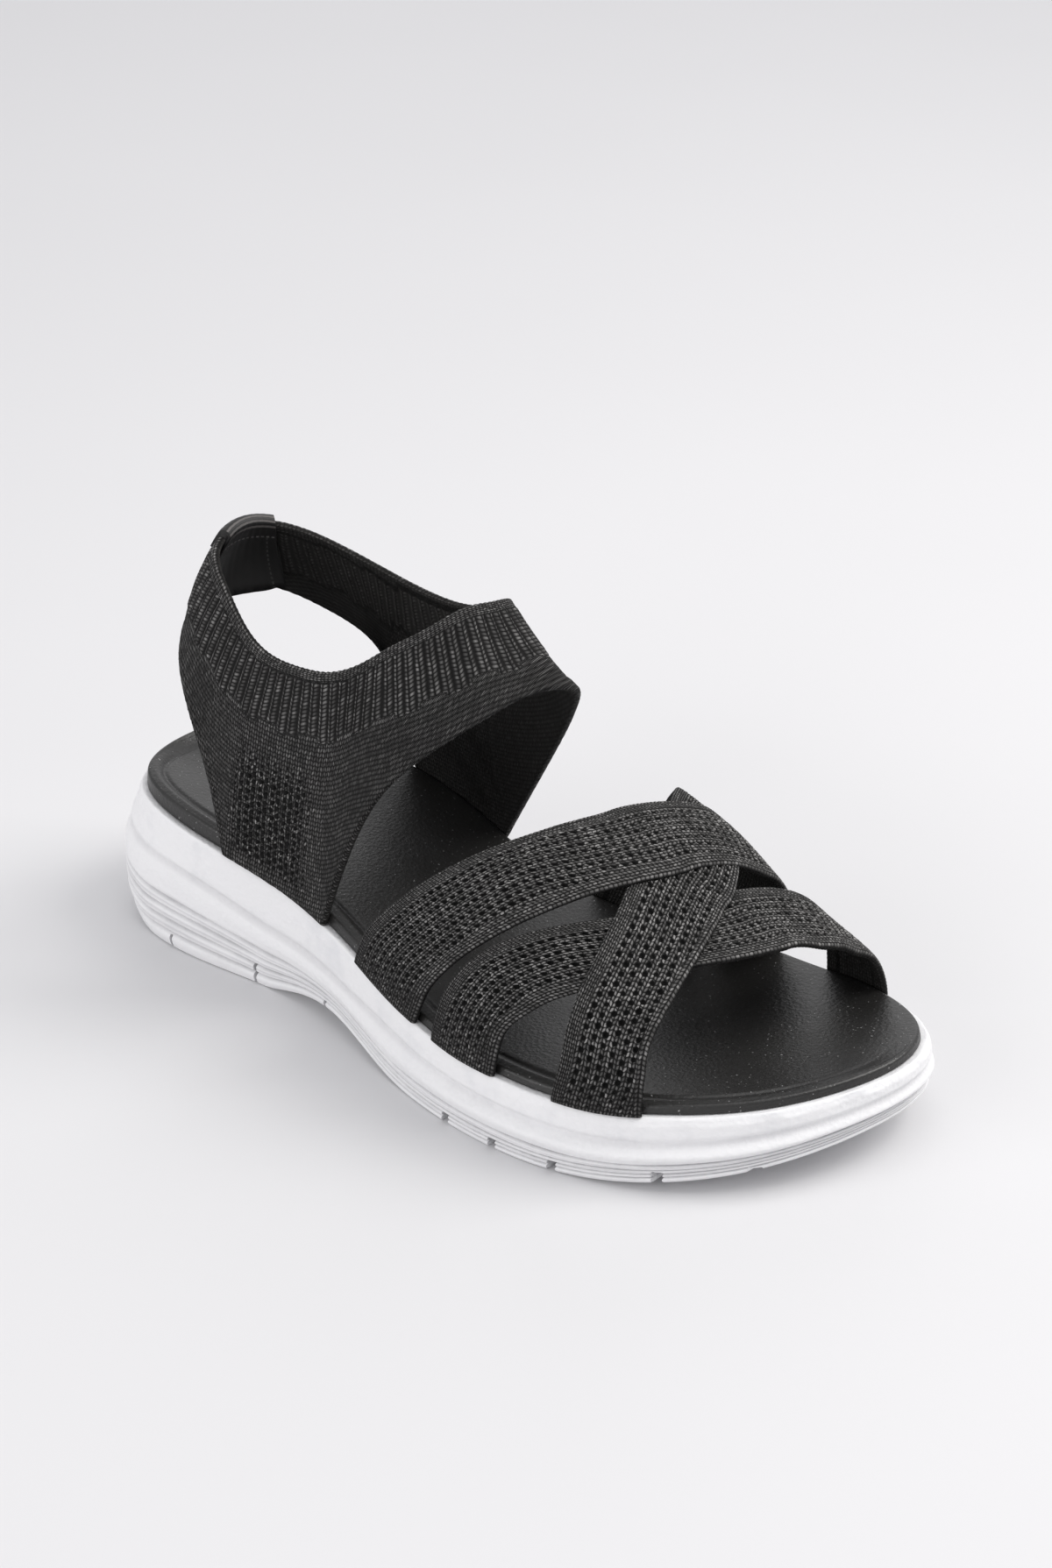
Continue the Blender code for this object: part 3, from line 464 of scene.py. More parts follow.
def collar_lines():
    """The rim and the hem, with COLLAR_STEPS samples on each span between the table's rows."""
    rim = spline([collar_place(*row[:3]) for row in COLLAR], COLLAR_STEPS, True)
    count = len(COLLAR)
    hems = [row[3:6] for row in COLLAR]
    seated = [k for k, (_, _, up) in enumerate(hems) if up is None]
    corners = [seated[0], seated[2], seated[3], seated[5]]
    hem = {}
    places = [collar_seat(along, across) if up is None else collar_place(along, across, up)
              for along, across, up in hems]
    for start, end in ((corners[1], corners[2]), (corners[3], corners[0] + count)):
        knots = [places[k % count] for k in range(start, end + 1)]
        curve = spline(knots, COLLAR_STEPS, False)
        for i, point in enumerate(curve):
            hem[(start * COLLAR_STEPS + i) % (count * COLLAR_STEPS)] = point
    for start, end in ((corners[0], corners[1]), (corners[2], corners[3])):
        for k in range(start, end):
            for i in range(COLLAR_STEPS):
                share = i / COLLAR_STEPS
                along = hems[k][0] * (1 - share) + hems[k + 1][0] * share
                hem[k * COLLAR_STEPS + i] = collar_seat(along, hems[start][1])
    return rim, np.array([hem[k] for k in range(count * COLLAR_STEPS)])


COLLAR_RIM, COLLAR_HEM = collar_lines()


def between(values, place):
    """Values at places on a closed row of them, counted in steps and fractions of a step."""
    k = np.floor(place).astype(int)
    share = np.reshape(place - k, np.shape(place) + (1,) * (values.ndim - 1))
    return values[k % len(values)] * (1 - share) + values[(k + 1) % len(values)] * share


def collar_middle(place, level):
    """Middle of the collar's wall, level 0 at the rim and 1 at the hem. place counts columns, fractions too."""
    rim = between(COLLAR_RIM, place)
    hem = between(COLLAR_HEM, place)
    out = (rim + hem) / 2 - COLLAR_RIM.mean(axis=0)
    drop = hem - rim
    out = unit(out - drop * (np.sum(out * drop, axis=-1) / np.sum(drop * drop, axis=-1))[..., None])
    belly = np.array([row[-1] for row in COLLAR])
    full = COLLAR_BELLY * between(belly, (place % len(COLLAR_RIM)) / COLLAR_STEPS)
    bulge = full * np.maximum(4 * level * (1 - level), 0.0)
    return rim + drop * np.asarray(level)[..., None] + out * bulge[..., None]


def collar_wall(place, level):
    """Middle of the wall and its outward normal."""
    run = collar_middle(place + 0.5, level) - collar_middle(place - 0.5, level)
    down = collar_middle(place, level + 0.02) - collar_middle(place, level - 0.02)
    return collar_middle(place, level), unit(np.cross(down, run))


# Colours, then the knit's depth in metres, the grain, dust and gloss of the footbed's wrap and the length of the
# tape's stitches in millimetres
BLACK = (0.0085, 0.0082, 0.0080)
# grey of the loop tops: the yarn's flecks and a painted highlight of its sheen
YARN = (0.29, 0.284, 0.278)
# the one dark tone of the knit's inner side: painted shade
INNER_SHADED = (0.026, 0.025, 0.0235)
WRAP = (0.0105, 0.0101, 0.0096)
TAPE = (0.011, 0.0105, 0.0105)
TAPE_STRIPE = (0.15, 0.14, 0.135)
STITCH = (0.20, 0.195, 0.19)
WHITE = (0.84, 0.838, 0.85)
MOTTLE = (0.66, 0.67, 0.70)
# painted shade in the sole's grooves and crease
GROOVE_SHADE = (0.52, 0.515, 0.53)
KNIT_DEPTH = 0.00035
GRAIN = 900.0
GRAIN_DEPTH = 0.00012
DUST = 0.26
WRAP_ROUGHNESS = 0.40
STITCH_LENGTH = 0.8


class Field:
    """A number in a material's node tree, with the arithmetic to build a pattern from it."""

    def __init__(self, tree, socket):
        self.tree = tree
        self.socket = socket

    def math(self, operation, *others, clamp=False):
        node = self.tree.nodes.new("ShaderNodeMath")
        node.operation = operation
        node.use_clamp = clamp
        self.tree.links.new(self.socket, node.inputs[0])
        for place, other in enumerate(others, start=1):
            if isinstance(other, Field):
                self.tree.links.new(other.socket, node.inputs[place])
            else:
                node.inputs[place].default_value = other
        return Field(self.tree, node.outputs[0])

    __add__ = partialmethod(math, "ADD")
    __sub__ = partialmethod(math, "SUBTRACT")
    __mul__ = partialmethod(math, "MULTIPLY")
    __pow__ = partialmethod(math, "POWER")
    floor = partialmethod(math, "FLOOR")
    fraction = partialmethod(math, "FRACT")
    size = partialmethod(math, "ABSOLUTE")
    sine = partialmethod(math, "SINE")
    below = partialmethod(math, "LESS_THAN")
    clamp = partialmethod(math, "ADD", 0.0, clamp=True)


def empty_material(name):
    """A material with only its shader and output."""
    made = bpy.data.materials.new(name)
    made.use_nodes = True
    tree = made.node_tree
    shader = tree.nodes["Principled BSDF"]
    return made, tree, shader


def attribute(tree, name):
    """The three numbers of a mesh attribute."""
    node = tree.nodes.new("ShaderNodeAttribute")
    node.attribute_name = name
    split = tree.nodes.new("ShaderNodeSeparateXYZ")
    tree.links.new(node.outputs["Vector"], split.inputs[0])
    return [Field(tree, split.outputs[k]) for k in range(3)]


def place(tree):
    """Object coordinates, in metres."""
    return Field(tree, tree.nodes.new("ShaderNodeTexCoord").outputs["Object"])


def noise(where, scale, detail, roughness=0.5):
    node = where.tree.nodes.new("ShaderNodeTexNoise")
    node.inputs["Scale"].default_value = scale
    node.inputs["Detail"].default_value = detail
    node.inputs["Roughness"].default_value = roughness
    where.tree.links.new(where.socket, node.inputs["Vector"])
    return Field(where.tree, node.outputs["Fac"])


def speck(parts):
    """A random number for each cell given by three whole numbers."""
    tree = parts[0].tree
    join = tree.nodes.new("ShaderNodeCombineXYZ")
    for k, part in enumerate(parts):
        tree.links.new(part.socket, join.inputs[k])
    node = tree.nodes.new("ShaderNodeTexWhiteNoise")
    node.noise_dimensions = "3D"
    tree.links.new(join.outputs[0], node.inputs["Vector"])
    return Field(tree, node.outputs["Value"])


def blend_colour(share, low, high):
    node = share.tree.nodes.new("ShaderNodeMix")
    node.data_type = "RGBA"
    share.tree.links.new(share.socket, node.inputs["Factor"])
    for value, socket in zip((low, high), [s for s in node.inputs if s.type == "RGBA"]):
        if isinstance(value, tuple):
            socket.default_value = (*value, 1.0)
        else:
            share.tree.links.new(value, socket)
    return [s for s in node.outputs if s.type == "RGBA"][0]


def pebbles(where, scale):
    """Distance from the middle of the nearest of many small cells."""
    node = where.tree.nodes.new("ShaderNodeTexVoronoi")
    node.feature = "F1"
    node.inputs["Scale"].default_value = scale
    where.tree.links.new(where.socket, node.inputs["Vector"])
    return Field(where.tree, node.outputs["Distance"])


def coat(shader, colour, roughness, specular=0.5):
    """Colour, roughness, which is a number or a Field, and gloss of a shader."""
    links = shader.id_data.links
    links.new(colour, shader.inputs["Base Color"])
    shader.inputs["Specular IOR Level"].default_value = specular
    if isinstance(roughness, Field):
        links.new(roughness.socket, shader.inputs["Roughness"])
    else:
        shader.inputs["Roughness"].default_value = roughness


def bump(shader, height, distance, strength=1.0):
    tree = height.tree
    node = tree.nodes.new("ShaderNodeBump")
    node.inputs["Distance"].default_value = distance
    node.inputs["Strength"].default_value = strength
    tree.links.new(height.socket, node.inputs["Height"])
    tree.links.new(node.outputs[0], shader.inputs["Normal"])


def knit_material():
    """Stockinette: leaning yarn legs in columns, flecked, with painted highlight on the loop tops and round the
    holes and painted shade in the pits and holes between them.
    """
    made, tree, shader = empty_material("black_knit")
    course, wale, kind = attribute(tree, "knit")
    pit, shade, inner_shaded = attribute(tree, "look")
    near_a, near_b, lace = attribute(tree, "lace")
    where = place(tree)
    wander = noise(where, 420.0, 2.0) - 0.5
    sway = noise(where, 300.0, 1.0) - 0.5
    row = near_a.floor()
    hole_a = near_a.fraction() - 0.5 + sway * 0.10
    hole_b = (near_b + (row * 0.5).fraction() + wander * 0.14).fraction() - 0.5
    far = (hole_a * hole_a + hole_b * hole_b) ** 0.5
    hole = ((lace * 0.37 - far) * 9.0).clamp()
    # rim rings each hole; the loops on it get painted highlight
    rim = (((far - 0.40).size() * -7.0) + 1.0).clamp() * lace
    course = course + wander * 0.35
    wale = wale + sway * 0.16
    across = wale.fraction() - 0.5
    lean = across.size()
    climb = course + lean * LEG_LEAN
    along = climb.fraction()
    leg = ((lean - 0.25) * (lean - 0.25) * -16.0 + 1.0).clamp()
    loop = ((along * math.pi).sine() ** 0.6 * leg).clamp()
    random = speck((climb.floor(), wale.floor(), across.below(0.0) + kind))
    cloud = noise(where, 90.0, 3.0)
    fibre = noise(where, 2600.0, 2.0, 0.7)
    # spark: random bright flecks, strongest on the holes' rims, painted glints
    spark = ((random - 0.86) * 9.0).clamp() * (rim + 0.08)
    shine = (random ** 1.5 * 0.75 + spark * 1.9 + 0.36) * (cloud * 0.9 + 0.6) * (fibre * 1.2 + 0.4)
    # open_knit dims the yarn in pits and holes: painted shade
    open_knit = (pit * -0.9 + 1.0).clamp() * (hole * -1.0 + 1.0).clamp()
    top = (loop - 0.14).clamp() ** 1.6
    lit = (top * (rim * 0.8 + 1.0) * shine * shade * open_knit).clamp()
    colour = blend_colour(lit, BLACK, YARN)
    # the holes are painted darker than the black yarn: painted shade
    colour = blend_colour(hole, colour, tuple(c * 0.35 for c in BLACK))
    # painted shade: the inner side is flattened towards one dark tone
    colour = blend_colour(inner_shaded, colour, INNER_SHADED)
    coat(shader, colour, 0.72, 0.14)
    height = (loop ** 0.6 + rim * 0.3) * open_knit - hole * 1.4 + fibre * 0.12
    bump(shader, height, KNIT_DEPTH)
    return made


def leather_material():
    """Smooth coated wrap: fine cells of grain, cloudy gloss and a little pale dust."""
    made, tree, shader = empty_material("black_wrap")
    where = place(tree)
    cell = pebbles(where, GRAIN)
    fine = noise(where, GRAIN * 2.3, 3.0, 0.6)
    cloud = noise(where, 45.0, 3.0)
    broad = noise(where, 16.0, 2.0)
    grit = noise(where, 1500.0, 1.0, 0.4)
    mote = ((grit - (1.0 - DUST)) * 40.0).clamp()
    base = blend_colour((cloud * 0.8 + broad * 0.5 - 0.25).clamp(), WRAP, tuple(c * 1.7 for c in WRAP))
    rough = (cloud * 0.16 + fine * 0.08 + (WRAP_ROUGHNESS - 0.12)).clamp()
    coat(shader, blend_colour(mote * 0.55, base, (0.5, 0.5, 0.5)), rough, 0.56)
    bump(shader, cell * 0.6 + fine * 0.5, GRAIN_DEPTH)
    return made


def tape_material():
    """Smooth tape: grey woven stripes along its fold and pale rows of stitches inside."""
    made, tree, shader = empty_material("black_tape")
    below, across, _ = attribute(tree, "tape")
    where = place(tree)
    cloud = noise(where, 160.0, 3.0)
    fibre = noise(where, 2400.0, 2.0, 0.7)
    fold = ((below + 1.2).size() * -2.0 + 5.4).clamp()
    stripe = ((below * (2 * math.pi / 1.5)).sine() * 2.0).clamp() * fold
    dash, fall = [(((way * (math.pi / STITCH_LENGTH)).sine() + 0.25) * 4.0).clamp() for way in (across, below)]
    row = ((below - 4.4).size() * -5.0 + 1.8).clamp() * dash
    column = ((across.size() - 7.4).size() * -5.0 + 1.4).clamp() * fall * ((below - 4.0) * 2.0).clamp()
    thread = ((row + column * 0.35) * (cloud * 2.4 - 0.5).clamp()).clamp()
    base = blend_colour(stripe * (fibre * 0.8 + 0.3), TAPE, TAPE_STRIPE)
    coat(shader, blend_colour(thread * 0.8, base, STITCH), 0.5, 0.4)
    bump(shader, stripe * 0.5 + thread * 1.2 + fibre * 0.3, 0.00015)
    return made


def foam_material():
    """Moulded foam: fine pebbles, faint grey mottling that is heavier on the upper band as painted shade, and
    painted shade in the grooves and the crease of its side.
    """
    made, tree, shader = empty_material("white_foam")
    where = place(tree)
    cell = pebbles(where, 620.0)
    fine = noise(where, 1400.0, 3.0, 0.6)
    cloud = noise(where, 55.0, 4.0)
    smudge = noise(where, 190.0, 3.0)
    grey = ((cloud - 0.5) * 1.2 + (smudge - 0.5) * 0.9).clamp()
    # press carries painted shade for the side's grooves and crease, then the share of the upper band, whose grey
    # mottling is made heavier as painted shade
    groove, band, _ = attribute(tree, "press")
    base = blend_colour(grey * (band * 0.8 + 0.3), WHITE, MOTTLE)
    base = blend_colour((groove * (smudge * 0.8 + 0.5)).clamp(), base, GROOVE_SHADE)
    coat(shader, base, (fine * 0.2 + cloud * 0.12 + 0.34).clamp())
    bump(shader, cell * 0.8 + fine * 0.5 + cloud * 1.5, 0.00022, 0.9)
    return made


def add_mesh(name, points, faces, material):
    """A new object with a smoothly shaded mesh."""
    mesh = bpy.data.meshes.new(name)
    mesh.from_pydata(points.tolist(), [], faces)
    mesh.shade_smooth()
    mesh.materials.append(material)
    thing = bpy.data.objects.new(name, mesh)
    bpy.context.scene.collection.objects.link(thing)
    return thing


def band_faces(count):
    """Faces between count rings of COLUMNS points each."""
    k = np.arange(COLUMNS)
    n = (k + 1) % COLUMNS
    quads = np.stack([k, n, COLUMNS + n, COLUMNS + k], axis=1)
    return [quad for r in range(count - 1) for quad in (quads + r * COLUMNS).tolist()]


def tube(name, points, closed, material, carried):
    """Closed solid from a grid of points whose rows are rings. carried are named corner values, one row and one
    column wider than the points where the grid closes on itself."""
    stations, ring = points.shape[:2]
    spans = stations if closed else stations - 1
    i, j = np.meshgrid(np.arange(spans), np.arange(ring), indexing="ij")
    i = i.ravel()
    j = j.ravel()
    ni = (i + 1) % stations
    nj = (j + 1) % ring
    quads = np.stack([i * ring + j, ni * ring + j, ni * ring + nj, i * ring + nj], axis=1)
    flat = points.reshape(-1, 3) - ORIGIN
    faces = quads.tolist()
    if not closed:
        for station, turn in ((0, 1), (stations - 1, -1)):
            hub = len(flat)
            base = station * ring
            flat = np.vstack([flat, flat[base:base + ring].mean(axis=0)])
            for k in range(ring):
                face = (hub, base + k, base + (k + 1) % ring)
                faces.append(face if turn > 0 else face[::-1])
    thing = add_mesh(name, flat, faces, material)
    mesh = thing.data
    for title, values in carried:
        data = np.zeros((len(mesh.loops), 3))
        corners = [values[i, j], values[i + 1, j], values[i + 1, j + 1], values[i, j + 1]]
        data[:4 * len(i)] = np.stack(corners, axis=1).reshape(-1, 3)
        mesh.attributes.new(title, "FLOAT_VECTOR", "CORNER").data.foreach_set("vector", data.ravel())
    return thing


def arc_places(points):
    steps = np.linalg.norm(np.diff(points, axis=0), axis=1)
    return np.concatenate([[0.0], np.cumsum(steps)])


def section(edge_share, turns, front, back):
    """Shares across a wall, out over its outer side and back over its inner side, closer together round both
    edges, and for each of them 1 outside or -1 inside."""
    edge = edge_share * (1 - np.cos(np.linspace(0, math.pi / 2, turns)))
    outer = np.concatenate([edge[:-1], np.linspace(edge_share, 1 - edge_share, front), (1 - edge[:-1])[::-1]])
    inner = np.concatenate([1 - edge[1:], np.linspace(1 - edge_share, edge_share, back)[1:-1], edge[1:][::-1]])
    return np.concatenate([outer, inner]), np.repeat([1.0, -1.0], [len(outer), len(inner)])[None, :]


def rounded(near, radius):
    """Share of a wall's half thickness that is left at near from its edge, rounded over radius."""
    return np.sqrt(clamp(1 - (1 - clamp(near / radius)) ** 2))


def knit_tube(name, points, closed, material, side, shade, pattern):
    """Tube that carries its knit pattern; its inner side is a plainer copy with painted shade, dimmer and
    flattened towards one dark tone.
    """
    course, across, pit, lace = pattern
    inner = np.broadcast_to(side < 0, pit.shape)
    lace[..., 2] *= ~inner
    # The inner side gets painted shade: its loops are dimmed to half and blended towards one dark tone
    fields = (("knit", np.stack([course, across, np.where(inner, 7.0, 0.0)], axis=-1)),
              ("look", np.stack([pit, np.where(inner, 0.5, shade), 0.6 * inner], axis=-1)), ("lace", lace))
    carried = [(title, np.concatenate([values, values[:, :1]], axis=1)) for title, values in fields]
    return tube(name, points, closed, material, carried)


# Rows of the sole's mesh on each span between SIDE_LINES, its relief as line, depth and spread, how strong the
# folds are at STATIONS, and the tread's grooves as place along, width and share of GROOVE_DEPTH
SIDE_ROWS = 7
SIDE_RELIEF = ((2, -0.00055, 0.28), (3, -0.00030, 0.25), (4, -0.00060, 0.28), (5, -0.00035, 0.25),
               (6, -0.00060, 0.28), (7, -0.00035, 0.25), (8, -0.00055, 0.30), (10, 0.00075, 0.60),
               (11, -0.00080, 0.42), (12, 0.00035, 0.50), (13, 0.00030, 0.70))
FOLD_SHARES = (0.4, 0.9, 1.3, 1.2, 0.9, 0.6, 0.5, 0.4)
GROOVE_DEPTH = 0.0030
TREAD = ((0.120, 0.0011, 1.40), (0.250, 0.0011, 2.07), (0.365, 0.0011, 2.27), (0.598, 0.0026, 1.00),
         (0.665, 0.0026, 1.00), (0.738, 0.0026, 1.07), (0.842, 0.0026, 2.00), (0.918, 0.0026, 2.60))

# Straps: spacing of the mesh in metres, then the knit's steps in millimetres and how many edge cords and plain
# wales each strap has beside its lace
STRAP_SPACING = 0.00038
CORD = 1.25
WALE = 1.9
COURSE = 1.35
HOLE_STEP = 2.8
LEG_LEAN = 0.9
LEG_RELIEF = 0.30
BANDS = {"rear_strap": (3, 2), "cross_strap": (3, 1), "front_strap": (3, 2)}


def holes_of(along, down, step, size):
    """Depth of the knit's staggered holes, from 0 between them to 1 inside."""
    a = (along / step + 0.5 * (np.floor(down / step) % 2)) % 1.0 - 0.5
    b = (down / step) % 1.0 - 0.5
    return clamp(1.6 - step * np.sqrt(a ** 2 + b ** 2) / size)


def cord_relief(share):
    return np.sqrt(clamp(1 - (2 * (share % 1.0) - 1) ** 2))


def leg_relief(course, wale):
    """Height of the yarn legs, the same pattern as in the knit's material."""
    lean = np.abs(wale % 1.0 - 0.5)
    along = (course + lean * LEG_LEAN) % 1.0
    leg = clamp(1 - 4 * np.abs(lean - 0.25))
    return np.sqrt(np.sin(math.pi * along) * leg)


def strap_pattern(kind, s, w, width, over):
    """Course, wale, pit and relief in millimetres at millimetres s along and w across a strap."""
    cords, wales = BANDS[kind]
    left = cords * CORD
    right = width - wales * WALE
    in_left = w < left
    in_right = w > right
    across = np.where(in_left, w / CORD, np.where(in_right, (w - right) / WALE + 40, (w - left) / WALE + 12))
    course = np.where(in_left, s / (COURSE * 0.8), s / COURSE)
    patchy = 0.80 + 0.20 * np.sin(s * 0.55 + 1.3 * np.sin(w * 0.5)) * np.sin(w * 0.7 + 0.2 * s)
    inside = np.minimum(w - left, right - w)
    ends = clamp((over - 0.02) / 0.05) * clamp((0.98 - over) / 0.05)
    pit = holes_of(s, w - left, HOLE_STEP, 0.66) * patchy * clamp(inside / 0.8) * (0.35 + 0.65 * ends)
    cord = cord_relief(w / CORD)
    legs = leg_relief(course, across)
    relief = np.where(in_left, cord * 0.25 + legs * 0.15, 0.05 + LEG_RELIEF * legs * (1 - pit) - 0.9 * pit)
    amount = patchy * clamp(inside / 0.6) * (0.45 + 0.55 * ends) * ~in_left
    lace = np.stack([(w - left) / HOLE_STEP, s / HOLE_STEP, amount], axis=-1)
    # between the edge cords pit darkens the valleys: painted shade
    pit = np.where(in_left, 0.5 * (1 - cord), pit)
    return course, across, pit, relief, lace


def make_strap(name, kind, material):
    rows = STRAPS[kind]
    fine = np.linspace(0.0, 1.0, 900)
    spine, _ = strap_wall(rows, fine, 0.5)
    arc = arc_places(spine)
    stations = int(arc[-1] / STRAP_SPACING)
    over = np.interp(np.linspace(0, arc[-1], stations), arc, fine)
    shares, side = section(0.06, 7, 66, 18)
    o, share = np.meshgrid(over, shares, indexing="ij")
    middle, normal = strap_wall(rows, o, share)
    first, _ = strap_wall(rows, over, 0.0)
    last, _ = strap_wall(rows, over, 1.0)
    width = np.linalg.norm(last - first, axis=1)[:, None] * 1000
    s = (np.linspace(0, arc[-1], stations) * 1000)[:, None] + 0 * o
    w = share * width
    notch = 0.22 * np.abs(np.sin(math.pi * s / COURSE)) * clamp(np.minimum(o, 1 - o) / 0.05)
    edging = clamp(1 - w / 1.6) - clamp(1 - (width - w) / 1.6)
    outward_way = unit(last - first)[:, None, :]
    near = np.minimum(w, width - w)
    half = 0.5 * STRAP_THICKNESS * rounded(near, 0.95)
    course, across, pit, relief, lace = strap_pattern(kind, s, w, width, o)
    fade = clamp(near / 0.5) * clamp(np.minimum(o, 1 - o) / 0.02)
    crown = STRAP_CROWN * (1 - (2 * share - 1) ** 2)
    lift = side * half + crown + (relief - 0.2) * 0.001 * fade * np.where(side > 0, 1.0, -0.4)
    points = middle + normal * lift[..., None] - outward_way * (notch * edging * 0.001)[..., None]
    floor = seat_height(points[..., 0]) + CLEARANCE
    points[..., 2] = np.maximum(points[..., 2], floor)
    points[0, :, 2] = floor[0]
    points[-1, :, 2] = floor[-1]
    # painted shade: each strap darkens towards its ends, where it goes down to the sole
    shade = 0.55 + 0.45 * smooth_step(0.03, 0.16, o) * smooth_step(0.03, 0.12, 1 - o)
    return knit_tube(name, points, False, material, side, shade, (course, across, pit, lace))


# Collar: spacing of the mesh in metres, the legs' middles and the split between them in rows of COLLAR, then the
# knit's steps in millimetres
COLLAR_SPACING = 0.00046
LEG_ROWS = (5.0, 17.0)
LEG_SPLIT = 12.3
ROLL = 3.2
RIB = 3.0
RIB_LENGTH = 18.5
LOOP = 1.9
LOOP_RISE = 1.35
HOLE = 2.4
SCALLOP = 1.84


def collar_pattern(s, d, hem, round_leg):
    """Course, wale, pit, relief in millimetres at s round the rim, d below it, hem above the lower edge and
    round_leg from the middle of a leg."""
    step = 1.6 * (np.floor(s / (2 * RIB)) % 2)
    end = RIB_LENGTH + step
    roll = d < ROLL
    rib = (d >= ROLL) & (d < end)
    across = np.where(roll, d / 1.05 + 90, np.where(rib, s / RIB + 0.25, round_leg / LOOP + 300))
    course = np.where(roll, s / 1.2, np.where(rib, d / 1.15, d / LOOP_RISE))
    legs = leg_relief(course, across)
    turn = 2 * math.pi * (s / RIB - 0.25)
    strength = smooth_step(ROLL - 0.6, ROLL + 0.6, d) * (1 - smooth_step(-1.5, 0.0, d - end))
    ribs = 0.34 * np.cos(turn) * strength
    # pit darkens the valleys between the ribs, and below them the holes: painted shade
    pit = strength * smooth_step(0.25, -0.75, np.cos(turn))
    open_knit = (smooth_step(22.0, 38.0, d) * smooth_step(3.0, 7.0, hem)
                 * smooth_step(20.0, 9.0, np.abs(round_leg + 4.0)))
    holes = holes_of(round_leg, d, HOLE, 0.6) * open_knit
    pit = np.where(d > end, holes, pit)
    body = 0.1 + 1.3 * ribs - 0.75 * holes * (d > end)
    relief = np.where(roll, 0.25 * cord_relief(d / 1.05), body) + 0.18 * legs
    lace = np.stack([round_leg / HOLE, d / HOLE, open_knit * (d > end)], axis=-1)
    hemroll = 0.35 * smooth_step(5.0, 3.6, hem) * smooth_step(0.0, 0.8, hem)
    return course, across, pit, relief + hemroll, lace


def make_collar(name, material):
    count = len(COLLAR_RIM)
    fine = np.linspace(0, count, 3000)
    arc = arc_places(collar_middle(fine, 0.0))
    stations = int(arc[-1] / COLLAR_SPACING)
    place_of = np.interp(np.linspace(0, arc[-1], stations + 1), arc, fine)
    levels, side = section(0.018, 5, 96, 34)
    p, level = np.meshgrid(place_of, levels, indexing="ij")
    middle, normal = collar_wall(p, level)
    hem_line = collar_middle(place_of, 1.0)
    down = hem_line - collar_middle(place_of, 0.0)
    drop = np.linalg.norm(down, axis=1)[:, None] * 1000
    ribs = round(arc[-1] * 1000 / RIB)
    s = np.linspace(0, ribs * RIB, stations + 1)[:, None] + 0 * p
    d = level * drop
    hem = (1 - level) * drop
    near = np.minimum(d, hem)
    half = 0.5 * COLLAR_WALL * rounded(near, 0.9)
    around = np.zeros_like(d)
    steps = np.linalg.norm(np.diff(middle, axis=0), axis=-1) * 1000
    around[1:] = np.cumsum(steps, axis=0)
    row = p / COLLAR_STEPS
    centres = [around[np.argmin(np.abs(place_of / COLLAR_STEPS - leg))] for leg in LEG_ROWS]
    around = np.where(row < LEG_SPLIT, around - centres[0], around - centres[1])
    course, across, pit, relief, lace = collar_pattern(s, d, hem, around)
    fade = clamp(near / 0.5)
    lift = side * half + (relief - 0.15) * 0.001 * fade * np.where(side > 0, 1.0, -0.5)
    points = middle + normal * lift[..., None]
    scallop = 0.00026 * np.abs(np.sin(math.pi * s / SCALLOP))
    foot = seat_height(points[..., 0]) + CLEARANCE
    seated = (hem_line[:, 2] <= foot[:, 0] + 3 * CLEARANCE)[:, None]
    scallop = scallop * (clamp(1 - d / 1.2) - clamp(1 - hem / 1.2) * ~seated)
    points += unit(down)[:, None, :] * scallop[..., None]
    points[..., 2] = np.where(seated, np.maximum(points[..., 2], foot), points[..., 2])
    # painted shade: the wall more than 20 mm below the rim is darker than the ribs above it
    shade = np.where(d > 20.0, 0.58, 0.90)
    return knit_tube(name, points[:-1], True, material, side, shade, (course, across, pit, lace))


# Footbed: how far its wall leans in, then the soft roll and the crease inside its rim as inset, height and spread,
# and the places across between which both fade out
BED_LEAN = 0.0003
ROLL_IN = (0.0029, 0.00035, 0.0010)
CREASE = (0.0052, 0.00060, 0.0008)
CREASE_FADE = (0.012, -0.022)


def bed_top(x):
    return seat_height(x) + CLEARANCE + footbed_thickness(x)


